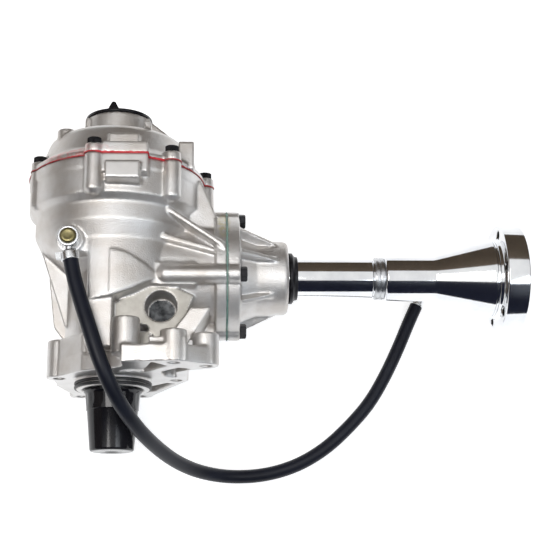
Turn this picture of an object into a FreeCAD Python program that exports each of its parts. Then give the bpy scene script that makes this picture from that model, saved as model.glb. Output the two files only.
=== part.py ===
# Right-angle bevel transfer case with its extension, flange, breather hose and shipping caps.
# Frame: origin at the centre of the input spigot on the transmission mounting face.
# +Y runs along the input axis into the case, +X along the output axis to the companion
# flange, +Z is up. All lengths are in millimetres and all angles in degrees.
import FreeCAD, Part
import Sketcher
import math
import os

from FreeCAD import Placement, Rotation, Vector

SIZES = {
    # frame of the unit
    "axis_height": 95,
    "parting_height": 185,
    "rest_depth": 100,
    "bead_gap": 0.8,
    # cast walls of the main case
    "barrel_radius": 74,
    "rim_radius": 81,
    "rim_depth": 11,
    "shoulder_height": 152,
    "shoulder_step": 6,
    "cone_top": 130,
    "cone_radius": 66,
    "cone_bottom": 113,
    "column_radius": 44,
    "wall": 5.5,
    "chamber_radius": 67,
    "front_wall_reach": 64,
    "flange_height": 34,
    "flange_plate": 15,
    "flange_skin": 7,
    "lug_radius": 11.5,
    "lug_hole_radius": 5.5,
    "spigot_radius": 33,
    "spigot_length": 9.5,
    # neck, extension housing and output line
    "neck_start_radius": 54,
    "neck_end_radius": 48,
    "nose_joint": 101.5,
    "nose_radius": 57,
    "nose_plate": 11.2,
    "nose_bolt_circle": 53,
    "nose_lobe_radius": 8.6,
    "nose_boss_length": 56,
    "nose_end": 158.2,
    "nose_end_radius": 34,
    "rib_width": 5,
    # cover
    "cover_plate": 8,
    "cover_dome_radius": 64,
    "cover_dome_height": 222,
    "cover_top": 248.5,
    "cover_neck_radius": 31,
    "cover_bolt_circle": 82,
    "boss_radius": 8.3,
    "spot_face_gap": 0.6,
    "boss_depth": 33,
    # fasteners
    "bolt_radius": 4,
    "bolt_clearance": 0.4,
    "bolt_engagement": 16,
    "head_flats": 12,
    "head_height": 6,
    "head_flange_radius": 8,
    "head_flange_height": 1.6,
    "plug_radius": 8,
    "plug_seat_depth": 83,
    "washer_thickness": 1.5,
    "dowel_radius": 3,
    "dowel_depth": 7,
    "bracket_hole_radius": 4.2,
    "bracket_boss_radius": 10,
    # front ports and pads
    "port_radius": 13.7,
    "port_x": 44,
    "port_y": 56,
    "port_depth": 26,
    "pad_height": 52,
    "front_pad_height": 86,
    "front_pad_left": -9.5,
    "front_pad_right": 32.5,
    "front_pad_root": 50,
    # bevel pair
    "ring_teeth": 37,
    "pinion_teeth": 17,
    "ring_pitch_radius": 56,
    "ring_trim_radius": 60,
    "rim_overrun": 6,
    "face_width": 18,
    "backlash": 0.4,
    # input line
    "input_bore_radius": 13.5,
    "input_seal_radius": 20,
    "input_journal_radius": 21,
    "input_body_radius": 25,
    "spline_radius": 18,
    "spline_depth": 1.6,
    "spline_teeth": 24,
    "spline_reach": 58,
    "carrier_radius": 54,
    "carrier_thickness": 9,
    "carrier_seat": 134,
    "ring_bolt_circle": 46,
    # bearings
    "cup_radius": 36,
    "bearing_width": 18,
    "lower_bearing_seat": 42,
    "upper_bearing_seat": 196,
    "pinion_bearing_seat": 61,
    "tail_cup_radius": 29.5,
    "tail_bearing_width": 16,
    "tail_bearing_seat": 129,
    "roller_gap": 0.35,
    # output line
    "pinion_journal_radius": 20,
    "tail_journal_radius": 15,
    "pinion_spline_radius": 13,
    "sleeve_radius": 18.75,
    "sleeve_end": 238.8,
    "snap_ring_end": 248.2,
    "hub_radius": 21,
    "hub_cone_start": 294.5,
    "hub_cone_radius": 37,
    "disc_back": 354.5,
    "disc_front": 375,
    "disc_radius": 50,
    "disc_bolt_circle": 42,
    "disc_bolt_radius": 4.25,
    "pilot_radius": 30,
    "pilot_depth": 6,
    "hub_bore_radius": 16.5,
    "hub_wall": 8,
    "nut_flats": 28,
    "nut_length": 13,
    # seals
    "lip_width": 8,
    "input_seal_outer": 27,
    "seal_ring_height": 1.6,
    "seal_ring_width": 2.9,
    "seal_ring_lead": 2.4,
    "seal_ring_gap": 0.5,
    # breather
    "breather_x": -35,
    "breather_y": 112,
    "breather_seat": 66,
    "banjo_radius": 9.6,
    "banjo_height": 12,
    "hose_radius": 6.5,
    "barb_radius": 4,
    # shipping caps
    "cap_collar_gap": 0.4,
    "cap_radius": 24.5,
    "cap_end_radius": 19.6,
    "cap_length": 54,
    "cap_wall": 1.8,
    "plug_lip_height": 2.6,
}

COVER_BOLTS = ((-4, 0), (50, 0), (100, 0), (154, -7), (212, -2), (262, 0), (309, 0))
NOSE_BOLT_ANGLES = (14, 101, 170, 243, 309)
DOWEL_ANGLES = (74, 237)
PLUG_SPOTS = {"fill": (20, 158), "drain": (-20, 130)}
BRACKET_SPOTS = ((-42, 160), (50, 150))

doc = FreeCAD.newDocument("TransferCase")
sheet = doc.addObject("Spreadsheet::Sheet", "Sizes")
for row, (word, number) in enumerate(SIZES.items(), start=1):
    sheet.set(f"A{row}", word)
    sheet.set(f"B{row}", str(number))
    sheet.setAlias(f"B{row}", word)
doc.recompute()


class Size:
    """A length that carries its value and the formula that the document binds."""

    def __init__(self, value, text):
        self.value = value
        self.text = text

    def __add__(self, other):
        other = sized(other)
        return Size(self.value + other.value, f"({self.text} + {other.text})")

    def __sub__(self, other):
        other = sized(other)
        return Size(self.value - other.value, f"({self.text} - {other.text})")

    def __mul__(self, other):
        other = sized(other)
        return Size(self.value * other.value, f"({self.text} * {other.text})")

    def __truediv__(self, other):
        other = sized(other)
        return Size(self.value / other.value, f"({self.text} / {other.text})")

    def __neg__(self):
        return Size(-self.value, f"(0 - {self.text})")

    __radd__ = __add__
    __rmul__ = __mul__

    def __rsub__(self, other):
        return sized(other) - self


def sized(number):
    """Wraps a plain number as a Size."""
    if isinstance(number, Size):
        return number
    return Size(float(number), f"{float(number):.6g}")


class Sheet:
    """Hands out the sheet's cells as Size values: cell.wall is the cell named wall."""

    def __getattr__(self, word):
        return Size(float(sheet.get(word)), f"Sizes.{word}")


cell = Sheet()
parts = []


# ---------------------------------------------------------------- building blocks

TURNS = {
    "X": Rotation(Vector(0, 1, 0), 90),
    "-X": Rotation(Vector(0, 1, 0), -90),
    "Y": Rotation(Vector(1, 0, 0), -90),
    "-Y": Rotation(Vector(1, 0, 0), 90),
    "Z": Rotation(),
    "-Z": Rotation(Vector(1, 0, 0), 180),
}


def bind(thing, **formulas):
    """Sets each property and binds it to its formula in the sheet."""
    for name, size in formulas.items():
        size = sized(size)
        setattr(thing, name, size.value)
        thing.setExpression(name, size.text)


def put(thing, at, rotation=Rotation()):
    """Places a thing at three Size coordinates."""
    x, y, z = (sized(value) for value in at)
    thing.Placement = Placement(Vector(x.value, y.value, z.value), rotation)
    for axis, size in zip("xyz", (x, y, z)):
        thing.setExpression(f"Placement.Base.{axis}", size.text)
    return thing


def rod(name, radius, length, at, along="Y"):
    """A cylinder that starts at a point and runs along a signed axis."""
    thing = doc.addObject("Part::Cylinder", name)
    bind(thing, Radius=radius, Height=length)
    return put(thing, at, TURNS[along])


def taper(name, radius, end_radius, length, at, along="Y"):
    """A cone that starts at a point and runs along a signed axis."""
    thing = doc.addObject("Part::Cone", name)
    bind(thing, Radius1=radius, Radius2=end_radius, Height=length)
    return put(thing, at, TURNS[along])


def block(name, low, high):
    """A box between two corners."""
    low = [sized(value) for value in low]
    high = [sized(value) for value in high]
    thing = doc.addObject("Part::Box", name)
    bind(thing, Length=high[0] - low[0], Width=high[1] - low[1], Height=high[2] - low[2])
    return put(thing, low)


def join(name, things):
    thing = doc.addObject("Part::MultiFuse", name)
    thing.Shapes = things
    thing.Refine = True
    return thing


def build_up(name, things):
    """Fuses the things one after another onto the first, in the order given."""
    whole = things[0]
    for index, item in enumerate(things[1:], start=1):
        step = doc.addObject("Part::Fuse", f"{name}_{index}")
        step.Base = whole
        step.Tool = item
        whole = step
    return whole


def carve(name, base, tools):
    """Cuts a list of tools out of a base."""
    tool = tools[0] if len(tools) == 1 else join(f"{name}_tools", tools)
    thing = doc.addObject("Part::Cut", name)
    thing.Base = base
    thing.Tool = tool
    thing.Refine = True
    return thing


def sketch_outline(body, name, role, points):
    """A closed outline on an origin plane, each corner bound to its two sizes."""
    sketch = body.newObject("Sketcher::SketchObject", name)
    plane = [item for item in body.Origin.OriginFeatures if item.Role == role][0]
    sketch.AttachmentSupport = [(plane, "")]
    sketch.MapMode = "FlatFace"
    corners = [(sized(u), sized(v)) for u, v in points]
    spots = [Vector(u.value, v.value, 0) for u, v in corners]
    count = len(spots)
    for index, spot in enumerate(spots):
        sketch.addGeometry(Part.LineSegment(spot, spots[(index + 1) % count]))
    for index in range(count):
        sketch.addConstraint(Sketcher.Constraint("Coincident", index, 2, (index + 1) % count, 1))
    for index, corner in enumerate(corners):
        for kind, size in zip(("DistanceX", "DistanceY"), corner):
            number = sketch.addConstraint(
                Sketcher.Constraint(kind, -1, 1, index, 1, size.value))
            sketch.setExpression(f"Constraints[{number}]", size.text)
    return sketch


def turned(name, axis, points, at=(0, 0, 0)):
    """A body turned about the Y or the X axis; points are (along, radius) pairs."""
    body = doc.addObject("PartDesign::Body", name)
    if axis == "Y":
        points = [(radius, along) for along, radius in points]
    sketch = sketch_outline(body, f"{name}_profile", "XY_Plane", points)
    turn = body.newObject("PartDesign::Revolution", f"{name}_turn")
    turn.Profile = sketch
    turn.ReferenceAxis = (sketch, ["V_Axis" if axis == "Y" else "H_Axis"])
    turn.Angle = 360
    body.Tip = turn
    return put(body, at)


def pad(name, role, points, length, at=(0, 0, 0)):
    """A padded outline; XY pads run along Z, XZ pads along -Y and YZ pads along X."""
    body = doc.addObject("PartDesign::Body", name)
    sketch = sketch_outline(body, f"{name}_outline", role, points)
    feature = body.newObject("PartDesign::Pad", f"{name}_pad")
    feature.Profile = sketch
    bind(feature, Length=length)
    body.Tip = feature
    return put(body, at)


def keep(thing, label):
    """Lists a finished object as a part under its own label."""
    thing.Label = label
    parts.append(thing)
    return thing


def keep_shape(shape, label):
    """Keeps a shape made with Part's own functions."""
    thing = doc.addObject("Part::Feature", f"{label}_shape")
    thing.Shape = shape
    return keep(thing, label)


def group(name, label, things):
    """Keeps separate equal solids together in one compound part."""
    thing = doc.addObject("Part::Compound", name)
    thing.Links = things
    return keep(thing, label)


def polar(radius, angle):
    """The cosine and sine offsets of a radius at a fixed angle."""
    turn = math.radians(angle)
    return radius * round(math.cos(turn), 6), radius * round(math.sin(turn), 6)


def hex_prism(name, flats, height, at, along):
    thing = doc.addObject("Part::Prism", name)
    thing.Polygon = 6
    bind(thing, Circumradius=flats / round(math.sqrt(3), 6), Height=height)
    return put(thing, at, TURNS[along])


OPPOSITE = {"X": "-X", "-X": "X", "Y": "-Y", "-Y": "Y", "Z": "-Z", "-Z": "Z"}
STEP = {"X": (1, 0, 0), "-X": (-1, 0, 0), "Y": (0, 1, 0), "-Y": (0, -1, 0),
        "Z": (0, 0, 1), "-Z": (0, 0, -1)}


def flange_bolt(name, seat, along, shank):
    """A hexagon flange bolt; its head stands along an axis from the seat."""
    collar = rod(f"{name}_collar", cell.head_flange_radius, cell.head_flange_height, seat, along)
    head = hex_prism(f"{name}_head", cell.head_flats, cell.head_height, seat, along)
    stem = rod(f"{name}_stem", cell.bolt_radius, shank, seat, OPPOSITE[along])
    return join(name, [collar, head, stem])


# ---------------------------------------------------------------- shared places

axis = cell.axis_height
parting = cell.parting_height
cover_base = parting + cell.bead_gap
cover_seat = cover_base + cell.cover_plate
extension_base = cell.nose_joint + cell.bead_gap
nose_seat = extension_base + cell.nose_plate
cover_bolt_spots = [
    polar(cell.cover_bolt_circle + offset, angle) for angle, offset in COVER_BOLTS]
nose_bolt_spots = [
    (axis + polar(cell.nose_bolt_circle, angle)[0], polar(cell.nose_bolt_circle, angle)[1])
    for angle in NOSE_BOLT_ANGLES]
bolt_hole = cell.bolt_radius + cell.bolt_clearance
rim_middle = cell.rim_radius - (cell.rim_radius - cell.barrel_radius - 0.5) / 2
dowel_spots = [polar(rim_middle, angle) for angle in DOWEL_ANGLES]

# Transmission lugs: (x, z) of each hole in the mounting face.
LUGS = {
    "front": (56, 80),
    "corner": (83, 64),
    "side": (56, -3),
    "rear": (20, -88.5),
    "rear_left": (-38, -88.5),
    "left": (-47, 8),
}

# ---------------------------------------------------------------- main case

def case_shell():
    """The solid outer form of the casting, before it is bored."""
    barrel = turned("barrel", "Y", [
        (cell.flange_height - 22, 0),
        (cell.flange_height - 22, cell.column_radius),
        (cell.cone_bottom - 22, cell.column_radius),
        (cell.cone_bottom, cell.cone_radius),
        (cell.cone_top, cell.barrel_radius),
        (cell.shoulder_height - 6, cell.barrel_radius),
        (cell.shoulder_height, cell.barrel_radius + cell.shoulder_step),
        (parting - cell.rim_depth, cell.barrel_radius + cell.shoulder_step),
        (parting - cell.rim_depth + 2, cell.rim_radius),
        (parting, cell.rim_radius),
        (parting, 0),
    ])
    neck = taper("neck", cell.neck_start_radius, cell.neck_end_radius, cell.nose_joint - 4,
                 (4, axis, 0), "X")
    round_form = rod("chamber_round", cell.chamber_radius, cell.cone_top - 50, (0, 50, 0))
    chamber_outline = pad("chamber_side", "XY_Plane", [
        (-19, cell.cone_top - 2),
        (-19, 59),
        (3, 62),
        (20, 69),
        (34, 77),
        (58, 84),
        (80, 88),
        (80, cell.cone_top - 2),
    ], 2 * cell.chamber_radius, (0, 0, -cell.chamber_radius))
    chamber = doc.addObject("Part::Common", "chamber")
    chamber.Base = round_form
    chamber.Tool = chamber_outline
    nose = rod("nose_flange", cell.nose_radius, 10, (cell.nose_joint - 10, axis, 0), "X")
    spigot = rod("spigot", cell.spigot_radius, cell.spigot_length + 20,
                 (0, -cell.spigot_length, 0))
    things = [barrel, chamber, neck, nose, spigot]
    nose_bosses = []
    nose_start = cell.nose_joint - cell.nose_boss_length
    for index, (y, z) in enumerate(nose_bolt_spots):
        nose_bosses.append(turned(f"nose_boss_{index}", "X", [
            (nose_start - 5, 0),
            (nose_start - 5, cell.nose_lobe_radius - 4),
            (nose_start, cell.nose_lobe_radius),
            (cell.nose_joint, cell.nose_lobe_radius),
            (cell.nose_joint, 0),
        ], (0, y, z)))
    rim_bosses = []
    rim_start = parting - cell.boss_depth
    for index, (x, z) in enumerate(cover_bolt_spots):
        rim_bosses.append(turned(f"rim_boss_{index}", "Y", [
            (rim_start - 4, 0),
            (rim_start - 4, cell.boss_radius - 4),
            (rim_start, cell.boss_radius),
            (parting, cell.boss_radius),
            (parting, 0),
        ], (x, 0, z)))
    return things + [join("nose_bosses", nose_bosses), join("rim_bosses", rim_bosses)]


def case_ribs():
    """Gussets and ridges that tie the barrel to the neck and to the mounting flange."""
    half = cell.rib_width / 2
    rim = cell.barrel_radius + cell.shoulder_step
    # ridge from the barrel shoulder down to the nose flange, on the upper side
    ridge = pad("ridge", "XY_Plane", [
        (30, cell.shoulder_height + 4),
        (rim - 2, parting - 4),
        (cell.nose_joint - 8, axis + cell.nose_radius - 8),
        (cell.nose_joint - 8, axis + 14),
        (30, axis + 14),
    ], 30, (0, 0, 0))
    front_rib = pad("front_rib", "XY_Plane", [
        (36, cell.shoulder_height + 4),
        (cell.nose_joint - 2, axis + 18),
        (cell.nose_joint - 2, axis + 12),
        (36, cell.shoulder_height - 2),
    ], 30, (0, 0, 27))
    middle_rib = pad("middle_rib", "XY_Plane", [
        (44, axis + 28),
        (cell.nose_joint - 2, axis + 11),
        (cell.nose_joint - 2, axis + 7),
        (44, axis + 22),
    ], 30, (0, 0, 24))
    back_ridge = pad("back_ridge", "XY_Plane", [
        (30, cell.shoulder_height + 4),
        (rim - 2, parting - 4),
        (cell.nose_joint - 8, axis + cell.nose_radius - 8),
        (cell.nose_joint - 8, axis + 14),
        (30, axis + 14),
    ], 40, (0, 0, -40))
    web = pad("left_web", "XY_Plane", [
        (-cell.cone_radius, cell.cone_bottom + 2),
        (-43, 46),
        (-30, 30),
        (-20, 30),
        (-20, cell.cone_bottom + 2),
    ], 13, (0, 0, 6))
    back_web = pad("back_web", "XY_Plane", [
        (-cell.cone_radius + 2, cell.cone_bottom - 12),
        (-58, 54),
        (-46, 38),
        (-20, 30),
        (-20, cell.cone_bottom - 12),
    ], 12, (0, 0, -34))
    front = block("front_wall", (-19, 18, 0), (3, 80, cell.front_wall_reach))
    foot = pad("diagonal_rib", "XY_Plane", [
        (70, 52),
        (87, 52),
        (64, 14),
        (42, 14),
    ], 64)
    lower_rib = block("lower_rib", (-half, 20, -62), (half, axis, -30))
    return [ridge, front_rib, middle_rib, back_ridge, web, back_web, front, foot, lower_rib]


def case_pads():
    """Machined pads: the side port, the breather seat, the joint pad and the rear bosses."""
    port = pad("port_pad", "XY_Plane", [
        (3, 58.5),
        (3, 42.6),
        (31.5, 39),
        (42.5, 21.7),
        (60, 33),
        (73, 66),
        (60, 72),
        (30, 74),
    ], cell.pad_height - 10, (0, 0, 10))
    band = pad("port_band", "XY_Plane", [
        (3, 62),
        (20, 68),
        (34, 75),
        (74, 74),
        (74, axis),
        (3, axis),
    ], cell.pad_height + 3, (0, 0, 0))
    front = cell.front_pad_height
    joint_pad = block("joint_pad", (cell.front_pad_left, parting - 17, cell.front_pad_root),
                      (cell.front_pad_right, parting, front))
    lower_block = block("lower_block", (-3.5, parting - 26, cell.front_pad_root),
                        (26, parting - 10, front + 9))
    breather = rod("breather_boss", cell.banjo_radius + 2.5, 36,
                   (cell.breather_x, cell.breather_y, cell.breather_seat - 36), "Z")
    rear_bosses = []
    for name, (x, y) in PLUG_SPOTS.items():
        rear_bosses.append(rod(f"{name}_boss", cell.plug_radius + 5, cell.plug_seat_depth - 50,
                               (x, y, -cell.plug_seat_depth), "Z"))
    for index, (x, y) in enumerate(BRACKET_SPOTS):
        rear_bosses.append(rod(f"bracket_boss_{index}", cell.bracket_boss_radius,
                               cell.rest_depth - 45, (x, y, -cell.rest_depth), "Z"))
    return [port, band, joint_pad, lower_block, breather, join("rear_bosses", rear_bosses)]


def mounting_flange():
    """The hollow flange that meets the transmission, with a lug at every bolt."""
    top = cell.flange_height
    plate = cell.flange_plate
    outline = pad("flange_block", "XZ_Plane", [
        (-52, 14),
        (-24, 46),
        (2, 58),
        (12, 66),
        (13, 88),
        (60, 91),
        (88, 74),
        (90, 56),
        (68, 44),
        (66, -8),
        (44, -58),
        (28, -96),
        (-42, -96),
        (-54, -30),
    ], plate, (0, plate, 0))
    core = pad("flange_core", "XZ_Plane", [
        (-52, 14),
        (-24, 44),
        (2, 52),
        (34, 52),
        (56, 30),
        (62, -8),
        (42, -58),
        (28, -96),
        (-42, -96),
        (-54, -30),
    ], top, (0, top, 0))
    lugs = [rod(f"lug_{name}", cell.lug_radius, top if z < 60 else top - 6, (x, 0, z))
            for name, (x, z) in LUGS.items()]
    front_lug = block("front_lug_block", (36, 0, 60), (67, plate + 6, 88))
    boss = rod("pump_boss", 12, 32, (15.5, 8, 74))
    upper_boss = rod("pump_boss_root", 13, 18, (17, 22, 38))
    return [outline, core, front_lug, join("lugs", lugs), boss, upper_boss]


def flange_pockets():
    """The pockets in the underside of the flange, between its walls and ribs."""
    depth = cell.flange_height - cell.flange_skin
    shallow = cell.flange_plate - 5
    pockets = []
    pockets.append(pad("pocket_front", "XZ_Plane", [
        (14, 52), (32, 58), (38, 84), (50, 66), (30, 38), (8, 41),
    ], shallow, (0, shallow, 0)))
    pockets.append(pad("pocket_side", "XZ_Plane", [
        (44, 40), (60, 58), (70, 52), (57, 37), (57, 12), (47, 16),
    ], shallow, (0, shallow, 0)))
    pockets.append(pad("pocket_rear", "XZ_Plane", [
        (47, -16), (55, -18), (36, -60), (20, -70), (-8, -78), (-26, -74), (-40, -34),
        (-34, -32), (-18, -43), (8, -46), (32, -33),
    ], depth, (0, depth, 0)))
    return pockets


def case_bores():
    """Everything that is bored, drilled or cored out of the casting."""
    wall = cell.wall
    column_bore = cell.cup_radius
    cavity = turned("cavity", "Y", [
        (parting, 0),
        (parting, cell.barrel_radius + cell.shoulder_step - wall),
        (cell.shoulder_height + 3, cell.barrel_radius + cell.shoulder_step - wall),
        (cell.shoulder_height - 3, cell.barrel_radius - wall),
        (cell.cone_top, cell.barrel_radius - wall),
        (cell.cone_bottom + 2, cell.cone_radius - wall),
        (cell.cone_bottom - 18, column_bore),
        (cell.lower_bearing_seat, column_bore),
        (cell.lower_bearing_seat, column_bore - 5),
        (14, column_bore - 5),
        (14, cell.input_seal_outer),
        (-cell.spigot_length, cell.input_seal_outer),
        (-cell.spigot_length, 0),
    ])
    cup_front = cell.pinion_bearing_seat + 2
    cup_back = cell.pinion_bearing_seat + cell.bearing_width
    pinion_space = rod("pinion_space", column_bore + 0.5, cup_front, (0, axis, 0), "X")
    pinion_bore = rod("pinion_bore", column_bore, cup_back - cup_front, (cup_front, axis, 0), "X")
    nose_space = rod("nose_space", column_bore - 5, cell.nose_joint - cup_back,
                     (cup_back, axis, 0), "X")
    tools = []
    for index, (x, z) in enumerate(cover_bolt_spots):
        tools.append(rod(f"rim_hole_{index}", bolt_hole, cell.bolt_engagement + 3,
                         (x, parting - cell.bolt_engagement - 3, z)))
    for index, (y, z) in enumerate(nose_bolt_spots):
        tools.append(rod(f"nose_hole_{index}", bolt_hole, cell.bolt_engagement + 3,
                         (cell.nose_joint - cell.bolt_engagement - 3, y, z), "X"))
    for name, (x, z) in LUGS.items():
        tools.append(rod(f"lug_hole_{name}", cell.lug_hole_radius, cell.flange_height - 8,
                         (x, 0, z)))
    for index, (x, z) in enumerate(dowel_spots):
        tools.append(rod(f"dowel_hole_{index}", cell.dowel_radius, cell.dowel_depth,
                         (x, parting - cell.dowel_depth, z)))
    tools.append(rod("port_bore", cell.port_radius, cell.port_depth,
                     (cell.port_x, cell.port_y, cell.pad_height), "-Z"))
    tools.append(rod("breather_bore", cell.banjo_radius - 4.3, 12,
                     (cell.breather_x, cell.breather_y, cell.breather_seat), "-Z"))
    for name, (x, y) in PLUG_SPOTS.items():
        tools.append(rod(f"{name}_bore", cell.plug_radius, 13,
                         (x, y, -cell.plug_seat_depth), "Z"))
    for index, (x, y) in enumerate(BRACKET_SPOTS):
        tools.append(rod(f"bracket_bore_{index}", cell.bracket_hole_radius, 16,
                         (x, y, -cell.rest_depth), "Z"))
    return [cavity, pinion_space, pinion_bore, nose_space], tools


def main_case():
    solid = build_up("case_solid", case_shell() + case_ribs() + case_pads() + mounting_flange())
    bores, holes = case_bores()
    bored = doc.addObject("Part::Cut", "case_bored")
    bored.Base = solid
    bored.Tool = build_up("case_hollow", bores)
    return keep(carve("case_casting", bored, holes + flange_pockets()), "main_case")




# ---------------------------------------------------------------- side cover and its bead

def side_cover():
    """The cover that carries the upper bearing and seal."""
    dome = cell.cover_dome_radius
    plate = cover_base + cell.cover_plate
    form = turned("cover_form", "Y", [
        (cover_base, 0),
        (cover_base, cell.rim_radius),
        (plate - 4, cell.rim_radius),
        (plate, cell.rim_radius - 5),
        (plate + 3, dome + 8),
        (cell.cover_dome_height - 4, dome),
        (cell.cover_dome_height, dome - 4),
        (cell.cover_dome_height + 3, cell.cover_neck_radius + 4),
        (cell.cover_dome_height + 6, cell.cover_neck_radius),
        (cell.cover_top, cell.cover_neck_radius),
        (cell.cover_top, 0),
    ])
    things = [form]
    for index, (x, z) in enumerate(cover_bolt_spots):
        things.append(rod(f"cover_boss_{index}", cell.boss_radius, cell.cover_plate,
                          (x, cover_base, z)))
    # sloped shoulder and lug on the output side, plain bosses on the other side
    half = cell.rib_width
    things.append(pad("cover_shoulder", "XY_Plane", [
        (20, cover_base),
        (cell.rim_radius - 6, cover_base),
        (cell.rim_radius - 10, cover_seat + 18),
        (56, cover_seat + 32),
        (cell.cover_neck_radius, cell.cover_top - 2),
        (20, cell.cover_top - 2),
    ], 2 * half + 14, (0, 0, -14)))
    things.append(block("cover_lug", (58, cover_base, 18), (72, cover_seat + 19, 46)))
    things.append(rod("fill_boss", 9, cell.cover_dome_height + 3 - cover_base,
                      (-44, cover_base, 36)))
    things.append(rod("rear_boss", 9, cell.cover_dome_height - 6 - cover_base,
                      (-30, cover_base, -52)))
    things.append(block("side_rib", (27, cover_base, 10), (33, cell.cover_top - 18, 52)))
    front = cell.front_pad_height
    things.append(block("cover_joint_pad",
                        (cell.front_pad_left, cover_base, cell.front_pad_root),
                        (cell.front_pad_right, cover_seat + 2, front)))
    things.append(block("cover_block", (-3, cover_base, 40), (24, cover_seat + 16, front - 14)))
    neck_wall = cell.cover_neck_radius
    for angle in (30, 150, 210, 270, 330):
        dx, dz = polar(neck_wall + 1, angle)
        things.append(rod(f"neck_rib_{angle}", 3, cell.cover_top - cell.cover_dome_height - 2,
                          (dx, cell.cover_dome_height, dz)))
    solid = join("cover_solid", things)
    seat = cell.upper_bearing_seat
    bearing_top = seat + cell.bearing_width
    core = turned("cover_core", "Y", [
        (cover_base, 0),
        (cover_base, cell.cup_radius),
        (bearing_top, cell.cup_radius),
        (bearing_top, cell.cup_radius - 5),
        (cell.cover_top - 14, cell.cup_radius - 9),
        (cell.cover_top, cell.cup_radius - 9),
        (cell.cover_top, 0),
    ])
    outer = cell.barrel_radius + cell.shoulder_step - cell.wall
    hollow = turned("cover_hollow", "Y", [
        (cover_base, cell.cup_radius + 7),
        (cover_base, outer),
        (plate - 3, outer - 3),
        (plate + 8, dome - 5),
        (plate + 12, cell.cup_radius + 7),
    ])
    tools = [core, hollow]
    for index, (x, z) in enumerate(cover_bolt_spots):
        tools.append(rod(f"cover_hole_{index}", bolt_hole, cell.cover_plate, (x, cover_base, z)))
        tools.append(rod(f"cover_face_{index}", cell.head_flange_radius + cell.spot_face_gap,
                         cell.cover_plate, (x, cover_seat, z)))
    for index, (x, z) in enumerate(dowel_spots):
        tools.append(rod(f"cover_dowel_hole_{index}", cell.dowel_radius,
                         cell.dowel_depth - cell.bead_gap, (x, cover_base, z)))
    return keep(carve("cover_casting", solid, tools), "side_cover")


def cover_sealant():
    """The cured bead in the joint; it stands a little proud of both castings."""
    proud = cell.bead_gap / 2
    ring = rod("bead_ring", cell.rim_radius + proud, cell.bead_gap, (0, parting, 0))
    things = [ring]
    holes = [rod("bead_window", cell.barrel_radius + 1, cell.bead_gap, (0, parting, 0))]
    front = cell.front_pad_height + proud
    things.append(block("bead_pad", (cell.front_pad_left, parting, cell.barrel_radius + 2),
                        (cell.front_pad_right, cover_base, front)))
    for index, (x, z) in enumerate(dowel_spots):
        holes.append(rod(f"bead_dowel_hole_{index}", cell.dowel_radius, cell.bead_gap,
                         (x, parting, z)))
    for index, (x, z) in enumerate(cover_bolt_spots):
        things.append(rod(f"bead_boss_{index}", cell.boss_radius + proud, cell.bead_gap,
                          (x, parting, z)))
        holes.append(rod(f"bead_hole_{index}", bolt_hole, cell.bead_gap, (x, parting, z)))
    return keep(carve("bead", join("bead_solid", things), holes), "cover_sealant")


def cover_bolts():
    shank = cell.cover_plate + cell.bead_gap + cell.bolt_engagement
    bolts = [flange_bolt(f"cover_bolt_{index}", (x, cover_seat, z), "Y", shank)
             for index, (x, z) in enumerate(cover_bolt_spots)]
    return group("cover_bolt_set", "cover_bolts", bolts)


# ---------------------------------------------------------------- extension housing

def extension_housing():
    """The nose that carries the tail bearing and the output seal."""
    plate = rod("nose_plate_disc", cell.nose_radius, cell.nose_plate,
                (extension_base, axis, 0), "X")
    body = turned("nose_body", "X", [
        (nose_seat, 0),
        (nose_seat, cell.nose_end_radius + 7),
        (cell.tail_bearing_seat, cell.nose_end_radius + 1),
        (cell.nose_end - 3, cell.nose_end_radius),
        (cell.nose_end, cell.nose_end_radius - 2),
        (cell.nose_end, 0),
    ], (0, axis, 0))
    things = [plate, body]
    for index, (y, z) in enumerate(nose_bolt_spots):
        things.append(rod(f"nose_lobe_{index}", cell.nose_lobe_radius, cell.nose_plate,
                          (extension_base, y, z), "X"))
    half = cell.rib_width / 2
    for number, angle in enumerate((40, 75, 130, 205, 275, 335)):
        rib = pad(f"nose_rib_{number}", "XY_Plane", [
            (nose_seat - 2, cell.nose_end_radius - 2),
            (nose_seat - 2, cell.nose_radius - 6),
            (nose_seat + 3, cell.nose_radius - 8),
            (cell.nose_end - 10, cell.nose_end_radius),
            (cell.nose_end - 10, cell.nose_end_radius - 2),
        ], cell.rib_width)
        turn = Rotation(Vector(1, 0, 0), angle)
        lift = turn.multVec(Vector(0, 0, -half.value))
        rib.Placement = Placement(Vector(0, axis.value, 0) + lift, turn)
        rib.setExpression("Placement.Base.y", (axis + round(lift.y, 6)).text)
        things.append(rib)
    solid = join("extension_solid", things)
    core = turned("nose_core", "X", [
        (extension_base, 0),
        (extension_base, cell.tail_cup_radius - 4),
        (cell.tail_bearing_seat, cell.tail_cup_radius - 4),
        (cell.tail_bearing_seat, cell.tail_cup_radius),
        (cell.nose_end, cell.tail_cup_radius),
        (cell.nose_end, 0),
    ], (0, axis, 0))
    tools = [core]
    for index, (y, z) in enumerate(nose_bolt_spots):
        tools.append(rod(f"lobe_hole_{index}", bolt_hole, cell.nose_plate,
                         (extension_base, y, z), "X"))
    return keep(carve("extension_casting", solid, tools), "extension_housing")


def nose_gasket():
    ring = rod("gasket_ring", cell.nose_radius, cell.bead_gap, (cell.nose_joint, axis, 0), "X")
    things = [ring]
    holes = [rod("gasket_window", cell.cup_radius + 3, cell.bead_gap,
                 (cell.nose_joint, axis, 0), "X")]
    for index, (y, z) in enumerate(nose_bolt_spots):
        things.append(rod(f"gasket_lobe_{index}", cell.nose_lobe_radius, cell.bead_gap,
                          (cell.nose_joint, y, z), "X"))
        holes.append(rod(f"gasket_hole_{index}", bolt_hole, cell.bead_gap,
                         (cell.nose_joint, y, z), "X"))
    return keep(carve("gasket", join("gasket_solid", things), holes), "nose_gasket")


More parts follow.
